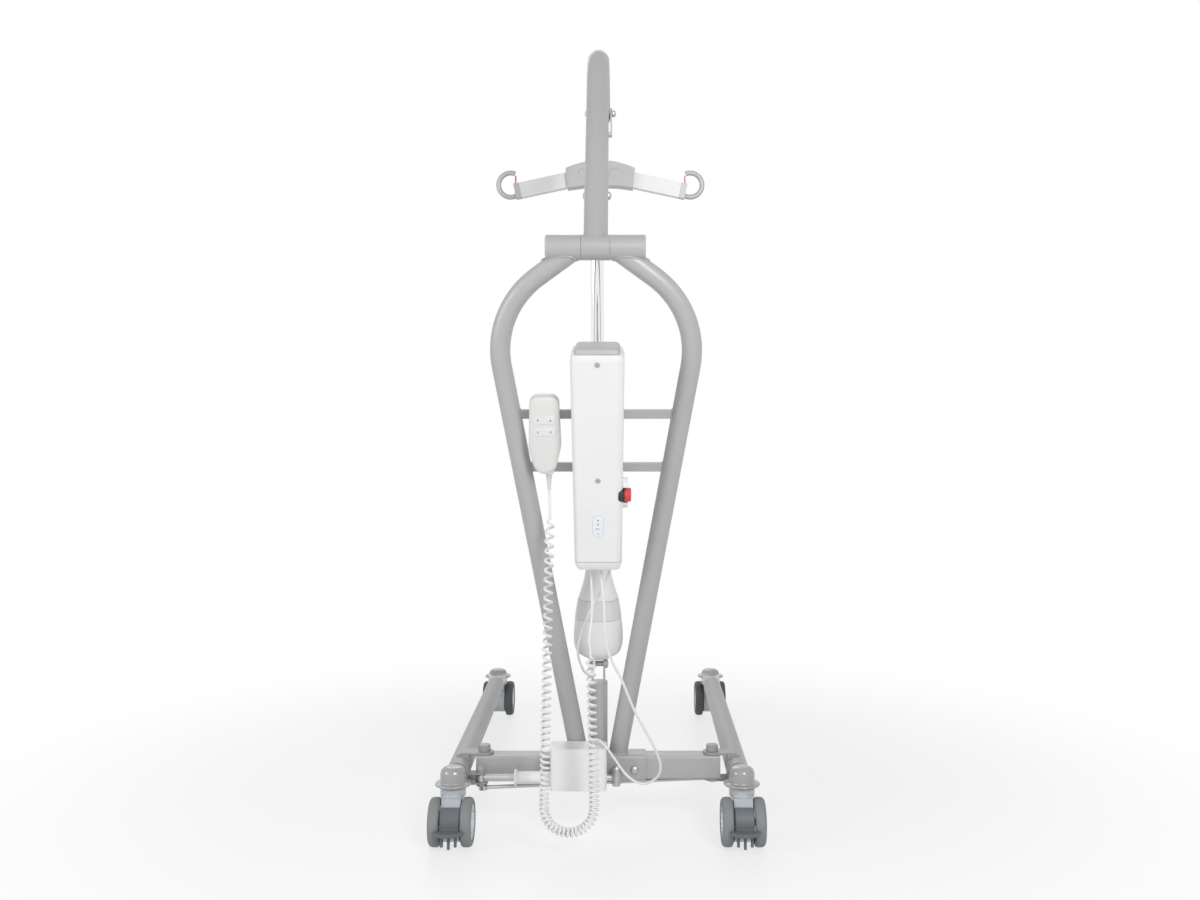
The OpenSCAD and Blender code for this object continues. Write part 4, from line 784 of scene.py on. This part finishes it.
def one_wheel():
    wheel = bmesh.new()
    spin(wheel, TREAD, paint=0)
    spin(wheel, DISC, paint=1)
    rib = bmesh.new()
    slab(rib, rounded_rect(RIB_LEN, RIB_W, 0.7, 3), RIB_FOOT, RIB_TOP, soft=0.4, paint=1)
    rib.transform(shift(RIB_AT, 0, 0))
    ribs = baked(rib, repeat_around, Count=RIB_COUNT, Material=finish["caster_grey"])
    for polygon in ribs.polygons:
        polygon.material_index = 1
    wheel.from_mesh(ribs)
    bpy.data.meshes.remove(ribs)
    return wheel


def swivel_place(side, end):
    """The frame of a caster: its swivel axis is Z, and its wheels lie towards -Y."""
    out, along = SWIVEL_AT[end]
    leg = shift(PIVOT_X, BEAM_Y, 0) @ turned(-LEG_SPLAY, "Z")
    place = leg @ shift(out, along, 0) @ turned(LEG_SPLAY + (180 if end == "front" else 0), "Z")
    return FLIP_X @ place if side == "left" else place


wheel = one_wheel()
for side in ("left", "right"):
    for end in ("rear", "front"):
        pair = bmesh.new()
        for across in (1, -1):
            stamp(pair, wheel, shift(across * WHEEL_GAP / 2, -TRAIL, WHEEL_R) @ turned(across * 90, "Y"))
        body = f"{end}_wheels_{side}"
        finished_piece(body + "_pair", pair, swivel_place(side, end), body,
                       ["tread_mid" if end == "rear" else "tread_dark", "caster_grey"], [body])
wheel.free()

# %% [markdown]
# The lifting motor hides in a white drop-shaped shell. A subdivided box could be pushed into
# this shape, but its width and depth at a dozen heights say it all: a smooth line through them
# gives the rings, and each ring is a squarish oval. A slightly raised belt runs round it, and
# its darker grey is painted shade. A bore from above takes the tube, and the rod when the boom
# is down.


# %% Motor shell
# Height over the foot pin, half width and half depth
MOTOR_RINGS = [(17, 22, 22), (20, 27, 26), (30, 44, 35), (40, 50, 39), (58, 53.3, 41.8), (84, 52.4, 41.6),
               (108, 50, 40.6), (132, 46.4, 38.6), (152, 42.6, 36.6), (178, 34.6, 33.4), (206, 28, 31),
               (227, 26.5, 30)]
MOTOR_BACK = -4
BELT_FOOT, BELT_TOP = 109, 153
BELT_PROUD, GROOVE = 0.5, 0.8
SHELL_FOOT, SHELL_TOP = 16.6, 228
BORE_R, BORE_FOOT = 20, 62
OVAL_POWER, OVAL_STEPS = 2.5, 72
LOWER_ROWS = [17, 18.5, 20, 22, 24, 27, 30, 33, 36, 40, 46, 52, 58, 66, 76, 84, 92, 100, BELT_FOOT]
BELT_ROWS = [BELT_FOOT + GROOVE, BELT_FOOT + 6, 120, 130, 140, BELT_TOP - 6, BELT_TOP - GROOVE]
UPPER_ROWS = [BELT_TOP, 160, 170, 178, 186, 196, 206, 216, 222, 226, 227]


def smooth_value(rows, at, column):
    """The value in a column at a height, on a smooth line through the rows."""
    k = max(i for i in range(len(rows) - 1) if rows[i][0] <= at or i == 0)
    a, b, c, d = (rows[min(max(k + i, 0), len(rows) - 1)] for i in (-1, 0, 1, 2))
    s = (at - b[0]) / (c[0] - b[0])
    low = (c[column] - a[column]) / max(c[0] - a[0], 1e-6) * (c[0] - b[0])
    high = (d[column] - b[column]) / max(d[0] - b[0], 1e-6) * (c[0] - b[0])
    return ((2 * s ** 3 - 3 * s ** 2 + 1) * b[column] + (s ** 3 - 2 * s ** 2 + s) * low
            + (3 * s ** 2 - 2 * s ** 3) * c[column] + (s ** 3 - s ** 2) * high)


def oval(half_w, half_d, z):
    """A ring between an ellipse and a rectangle."""
    points = []
    for angle in around(OVAL_STEPS):
        c, s = math.cos(angle), math.sin(angle)
        points.append(Vector((half_w * math.copysign(abs(c) ** (2 / OVAL_POWER), c),
                              MOTOR_BACK + half_d * math.copysign(abs(s) ** (2 / OVAL_POWER), s), z)))
    return points


def motor_rows(heights, proud=0.0):
    return [oval(smooth_value(MOTOR_RINGS, z, 1) + proud, smooth_value(MOTOR_RINGS, z, 2) + proud, z)
            for z in heights]


shell = bmesh.new()
bore = [[Vector((BORE_R * math.cos(a), BORE_R * math.sin(a), z)) for a in around(OVAL_STEPS)]
        for z in (SHELL_TOP, BORE_FOOT)]
skin(shell, [[Vector((0, MOTOR_BACK, SHELL_FOOT))], oval(10, 10, SHELL_FOOT)]
     + motor_rows(LOWER_ROWS)
     + motor_rows([BELT_FOOT, BELT_FOOT + GROOVE], -GROOVE)
     + motor_rows(BELT_ROWS, BELT_PROUD)
     + motor_rows([BELT_TOP - GROOVE, BELT_TOP], -GROOVE)
     + motor_rows(UPPER_ROWS)
     + [oval(25, 28.5, SHELL_TOP)] + bore + [[Vector((0, 0, BORE_FOOT))]])
# Faces on the belt get the second finish, a darker copy of the shell's white: painted shade.
for face in shell.faces:
    face.material_index = 1 if BELT_FOOT < face.calc_center_median()[2] < BELT_TOP else 0
# The painted shade on the belt: the shell's white, made darker.
finish["belt_painted_shade"] = moulded("belt_painted_shade", [v * 0.86 for v in colour_of["cover_white"]],
                                gloss=0.36, depth=0.05)
finished_piece("lift_motor_shell", shell, ON_LIFT, "lift_body", ["cover_white", "belt_painted_shade"],
               ["lift_motor_housing"])

# %% [markdown]
# Every tube is welded to its neighbour, and the beads catch the light under the paint. A swept
# ring would look too smooth. A bead follows the line where two tubes meet: each point on the
# first tube runs along it until it reaches the second one's surface. Geometry Nodes then string
# small overlapping beads on that line.


# %% Weld beads
def bead_tree():
    tree, add, link, start, end = new_tree("weld_bead", Width="Float", Spacing="Float",
                                           Material="Material")
    line = add("GeometryNodeMeshToCurve")
    even = add("GeometryNodeResampleCurve")
    even.mode = "LENGTH"
    half = add("ShaderNodeMath")
    half.operation = "MULTIPLY"
    half.inputs[1].default_value = 0.5
    drop = add("GeometryNodeMeshIcoSphere")
    drop.inputs["Subdivisions"].default_value = 2
    place = add("GeometryNodeInstanceOnPoints")
    real = add("GeometryNodeRealizeInstances")
    smooth = add("GeometryNodeSetShadeSmooth")
    paint = add("GeometryNodeSetMaterial")
    link(start.outputs["Geometry"], line.inputs[0])
    link(line.outputs[0], even.inputs["Curve"])
    link(start.outputs["Spacing"], even.inputs["Length"])
    link(start.outputs["Width"], half.inputs[0])
    link(half.outputs[0], drop.inputs["Radius"])
    link(even.outputs[0], place.inputs["Points"])
    link(drop.outputs["Mesh"], place.inputs["Instance"])
    link(place.outputs[0], real.inputs[0])
    link(real.outputs[0], smooth.inputs["Geometry"])
    link(smooth.outputs[0], paint.inputs["Geometry"])
    link(start.outputs["Material"], paint.inputs["Material"])
    link(paint.outputs[0], end.inputs[0])
    return tree


weld_bead = bead_tree()


def run_to_tube(start, along, centre, axis, radius, side=-1):
    """The point where a line reaches a round tube, on its near or its far side."""
    offset = start - centre
    offset = offset - offset.dot(axis) * axis
    across = along - along.dot(axis) * axis
    half = offset.dot(across)
    root = max(half * half - across.dot(across) * (offset.dot(offset) - radius * radius), 0) ** 0.5
    return start + along * ((-half + side * root) / across.dot(across))


def around_tube(centre, along, radius, steps=96):
    """A ring of points on a round tube."""
    first = along.cross(Vector((0, 1, 0.3))).normalized()
    second = along.cross(first)
    return [centre + radius * (math.cos(a) * first + math.sin(a) * second) for a in around(steps)]


def add_beads(name, loops, body, width=4.4, spacing=1.5):
    """Makes one piece of the beads along several closed loops of points."""
    lines = bmesh.new()
    for loop in loops:
        made = [lines.verts.new(p) for p in loop]
        for i in range(len(made)):
            lines.edges.new((made[i - 1], made[i]))
    beads = baked(lines, weld_bead, Width=width, Spacing=spacing, Material=finish["frame_paint"])
    bm = bmesh.new()
    bm.from_mesh(beads)
    bpy.data.meshes.remove(beads)
    finished_piece(name, bm, Matrix.Identity(4), body, ["frame_paint"], crease=80)


X_AXIS, Z_AXIS = Vector((1, 0, 0)), Vector((0, 0, 1))
MAST_R, MAST_FOOT_X, MAST_TAIL = 20, 42.5, 95.46
FLARE, SHOULDER, SHOULDER_R = 9.42, 63.4, 185
HEAD_U, HEAD_R = 1103, 24.5
POST_R = 20
BOOM_RISE, BOOM_R = 56.5, 23.75
BAR_U, BAR_H, BAR_T = (658.5, 770), 18, 8


def direction(degrees):
    """A unit vector that leans from Z towards X."""
    return Vector((math.sin(math.radians(degrees)), 0, math.cos(math.radians(degrees))))


def both_sides(loop):
    """A loop and its mirror image on the left side."""
    return [loop, [Vector((-p.x, p.y, p.z)) for p in loop]]


up_mast, into_head = direction(FLARE), direction(FLARE - SHOULDER)
mast_foot = Vector((MAST_FOOT_X, 0, 0))
rise = HEAD_U - MAST_TAIL * into_head.z - SHOULDER_R * (math.sin(math.radians(FLARE))
                                                     + math.sin(math.radians(SHOULDER - FLARE)))
mast_end = mast_foot + up_mast * (rise / up_mast.z)
mast_end += SHOULDER_R * Vector((-up_mast.z + into_head.z, 0, up_mast.x - into_head.x))
head_loop = [run_to_tube(p, into_head, Z_AXIS * HEAD_U, X_AXIS, HEAD_R)
             for p in around_tube(mast_end, into_head, MAST_R)]
lean = ON_MAST.to_3x3() @ up_mast
foot_loop = [p + lean * ((SLEEVE_TOP - p.z) / lean.z)
             for p in around_tube(ON_MAST @ mast_foot, lean, MAST_R)]
post_loop = around_tube(Vector((0, LIFT_Y, SLEEVE_TOP)), Z_AXIS, POST_R)
bar_loops = []
for u in BAR_U:
    loop = [run_to_tube(Vector((0, y, u + z)), X_AXIS, mast_foot, up_mast, MAST_R)
            for z, y in rounded_rect(BAR_H, BAR_T, 1)]
    bar_loops += both_sides([ON_MAST @ p for p in loop])
mast_loops = both_sides([ON_MAST @ p for p in head_loop]) + both_sides(foot_loop) + [post_loop]
add_beads("mast_welds", mast_loops, "root")
add_beads("bar_welds", bar_loops, "root", width=3.4)
head_at = ON_MAST @ (Z_AXIS * HEAD_U)
boom_along = Vector((0, math.cos(math.radians(BOOM_RISE)), math.sin(math.radians(BOOM_RISE))))
saddle = [run_to_tube(p, boom_along, head_at, X_AXIS, HEAD_R, side=1)
          for p in around_tube(head_at, boom_along, BOOM_R)]
add_beads("boom_weld", [saddle], "boom")

# %% [markdown]
# The handset is a slim moulded shell whose face swells a little. A box with its edges rounded
# would be too straight, so its outline is the hull of four circles. Rings of that outline,
# drawn further in as they rise, give the rounded edge and the crown. The end that shows on top
# is the darker back shell, so those faces get its colour.

# %% Handset shell and keys
HAND_W, HAND_LEN, HAND_T = 64, 160, 28
HAND_AT = (-102, -18, 657)
FOOT_R, WIDE_Z = 24, 58
TOP_W, TOP_CORNER = 58, 16
FACE_T, CROWN = 13.6, 14.2
KEY_Z = (HAND_LEN - 71, HAND_LEN - 47)
KEY_W, KEY_H, KEY_R = 42, 17, 5.8
KEY_FOOT, KEY_FACE = -1.2, 1.1
# Where the darker back shell shows: its width, its length from the top end, its height
DARK_W, DARK_LEN, DARK_T = 54, 15, 8
ON_HANDSET = ON_MAST @ shift(*HAND_AT)
FACE_TURN = turned(90, "X")


def hand_outline(by, count=96):
    """The handset's outline, drawn in, as evenly spaced points from the right middle on."""
    circles = [(0, FOOT_R, FOOT_R - by), (0, WIDE_Z, HAND_W / 2 - by)]
    circles += [(x * (TOP_W / 2 - TOP_CORNER), HAND_LEN - TOP_CORNER, TOP_CORNER - by) for x in (-1, 1)]
    cloud = [Vector((cx + r * math.cos(math.radians(a)), cy + r * math.sin(math.radians(a))))
             for cx, cy, r in circles for a in range(0, 360, 6)]
    hull = [cloud[i] for i in convex_hull_2d(cloud)]
    centre = Vector((0, HAND_LEN / 2))
    ring = []
    for a in around(count):
        ray = Vector((math.cos(a), math.sin(a)))
        for k, p in enumerate(hull):
            hit = intersect_line_line_2d(centre, centre + ray * 300, hull[k - 1], p)
            if hit:
                ring.append(hit)
                break
    return ring


# How far each ring is drawn in, and its height
FACE_LEVELS = [(0, 0.2), (0, 7.4), (0.3, 8.8), (1.2, 10.4), (2.8, 11.8), (5, 12.7), (8, 13.3),
               (11, FACE_T)]
face = bmesh.new()
rows = [[Vector((x, y, z)) for x, y in hand_outline(by)] for by, z in FACE_LEVELS]
middle = HAND_LEN / 2
rows += [[Vector((x * f, middle + (y - middle) * f, CROWN - (CROWN - FACE_T) * f * f))
          for x, y in hand_outline(FACE_LEVELS[-1][0])] for f in (0.8, 0.5, 0.25)]
made = skin(face, rows + [[Vector((0, middle, CROWN))]])
face.faces.new(made[0])
for f in face.faces:
    x, y, z = f.calc_center_median()
    at_end = y > HAND_LEN - DARK_LEN and z < DARK_T and abs(x) < DARK_W / 2
    f.material_index = 1 if at_end else 0
finished_piece("handset_face", face, ON_HANDSET @ shift(0, -HAND_T / 2, 0) @ FACE_TURN, "root",
               ["handset_shell", "cap_grey"], ["handset_front"])


def arrow(up):
    """The outline of an arrow printed on the lifting key."""
    tip = 2.6 if up else -2.6
    return [(0, tip), (-2.4, -0.3 * tip), (-0.8, -0.3 * tip), (-0.8, -tip), (0.8, -tip),
            (0.8, -0.3 * tip), (2.4, -0.3 * tip)]


def spread_legs(wide):
    """The outline of two legs, wide or narrow, printed on the leg key."""
    out = 2.6 if wide else 1.1
    return [(-0.5, 2.4), (0.5, 2.4), (out + 0.5, -2.4), (out - 0.5, -2.4), (0, 0.6),
            (-out + 0.5, -2.4), (-out - 0.5, -2.4)]


finish["key_print"] = moulded("key_print", [0.28, 0.3, 0.33], gloss=0.55, depth=0.02)
for name, z, signs in (("lift_key", KEY_Z[1], (arrow(False), arrow(True))),
                       ("leg_key", KEY_Z[0], (spread_legs(False), spread_legs(True)))):
    key = bmesh.new()
    slab(key, rounded_rect(KEY_W, KEY_H, KEY_R), KEY_FOOT, KEY_FACE, soft=0.8)
    slab(key, rounded_rect(3, KEY_H - 2, 1.4, 3), KEY_FACE - 0.2, KEY_FACE + 0.25, soft=0.3)
    for x, sign in zip((-12.5, 12.5), signs):
        slab(key, [(x + a, b) for a, b in sign], KEY_FACE - 0.1, KEY_FACE + 0.15, paint=1)
    finished_piece(name + "_pad", key, ON_HANDSET @ shift(0, -HAND_T - 0.1, z) @ FACE_TURN, name,
                   ["key_grey", "key_print"], [name])

# %% [markdown]
# The display is a pale blue film in a shallow recess, with two lamps, a printed bar and a
# smaller lamp. A picture on the film would need a texture file. Thin slabs of a second colour
# show the same and stay sharp from close up.

# %% Display
BOX_X, BOX_U, BOX_LEN = 3.8, 473, 440
BOX_T, BOX_DEPTH = 14, 86
BOX_FOOT_W, BOX_TOP_W = 94, 104
FILM_W, FILM_H, FILM_R = 20.4, 45.4, 9.8
FILM_U, FILM_SINK = BOX_U + 95, 1.2
# Height over the film's middle, and diameter
LAMPS = ((13, 3.2), (4.2, 3.2), (-15.6, 2.2))
display = bmesh.new()
slab(display, rounded_rect(FILM_W, FILM_H, FILM_R), 0, 1, soft=0.3)
for z, d in LAMPS:
    slab(display, [(d / 2 * math.cos(a), z + d / 2 * math.sin(a)) for a in around(24)], 0.9, 1.2,
         soft=0.1, paint=1)
slab(display, [(x - 1, y - 5.2) for x, y in rounded_rect(9, 1.1, 0.5, 3)], 0.9, 1.05, paint=1)
finished_piece("display_film", display,
               ON_MAST @ shift(BOX_X, FILM_SINK - BOX_T - BOX_DEPTH, FILM_U) @ FACE_TURN, "root",
               ["display_blue", "pedal_grey"], ["display_panel"])

# %% [markdown]
# The emergency stop is a red mushroom over a black collar that sits in the box's rear corner,
# and a white ear beside it guards it against knocks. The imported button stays. The collar is a
# turned outline with small grips stamped around it, and the ear is a rounded slab with a notch
# for the collar, worked out point by point so that no boolean cut is needed.

# %% Emergency stop
STOP_RISE, STOP_SHARE = 157.5, 0.86
STOP_U, STOP_T = BOX_U + STOP_RISE, BOX_T + BOX_DEPTH * STOP_SHARE
STOP_X = BOX_X + BOX_FOOT_W / 2 + (BOX_TOP_W - BOX_FOOT_W) / 2 * STOP_RISE / BOX_LEN
STOP_SINK = 9.7
COLLAR = [(6.4, -7.5), (8.2, -7.5), (8.2, 1.4), (13.4, 1.4), (14, 2), (14, 10.2), (13.4, 10.9),
          (12.8, 10.9), (12.6, 9.6), (6.4, 9.6), (6.4, -7.5)]
GRIP_COUNT, GRIP_AT = 24, 14.1
GRIP_FOOT, GRIP_TOP = 2.6, 9.6
EAR_W, EAR_H, EAR_R = 62, 36, 17.9
EAR_FOOT, EAR_FACE = 0.3, 10
EAR_BACK, NOTCH_R = 14, 15
collar = bmesh.new()
spin(collar, COLLAR, steps=48)
grip = bmesh.new()
slab(grip, rounded_rect(0.9, 1.2, 0.3, 2), GRIP_FOOT, GRIP_TOP)
for k in range(GRIP_COUNT):
    stamp(collar, grip, turned(360 * k / GRIP_COUNT, "Z") @ shift(GRIP_AT, 0, 0))
grip.free()
finished_piece("stop_ring", collar,
               ON_MAST @ shift(STOP_X - STOP_SINK, -STOP_T, STOP_U) @ turned(90, "Y"),
               "root", ["black_plastic"])


def notched(outline, centre, radius, steps=24):
    """An outline with a round notch where a circle reaches into its side."""
    dropped = [i for i, p in enumerate(outline) if (Vector(p) - centre).length < radius]
    before, after = outline[dropped[0] - 1], outline[dropped[-1] + 1]
    start = math.atan2(before[1] - centre.y, before[0] - centre.x) + 2 * math.pi
    end = math.atan2(after[1] - centre.y, after[0] - centre.x)
    arc = [centre + radius * Vector((math.cos(a), math.sin(a)))
           for a in (start + (end - start) * i / steps for i in range(1, steps))]
    return outline[:dropped[0]] + [tuple(p) for p in arc] + outline[dropped[-1] + 1:]


ear = bmesh.new()
ear_outline = notched(rounded_rect(EAR_W, EAR_H, EAR_R, 12), Vector((0, -EAR_BACK)), NOTCH_R)
slab(ear, ear_outline, EAR_FOOT, EAR_FACE, soft=2.2)
finished_piece("stop_ear", ear, ON_MAST @ shift(STOP_X, EAR_BACK - STOP_T, STOP_U) @ turned(90, "Y"),
               "root", ["cover_white"], ["stop_collar"])
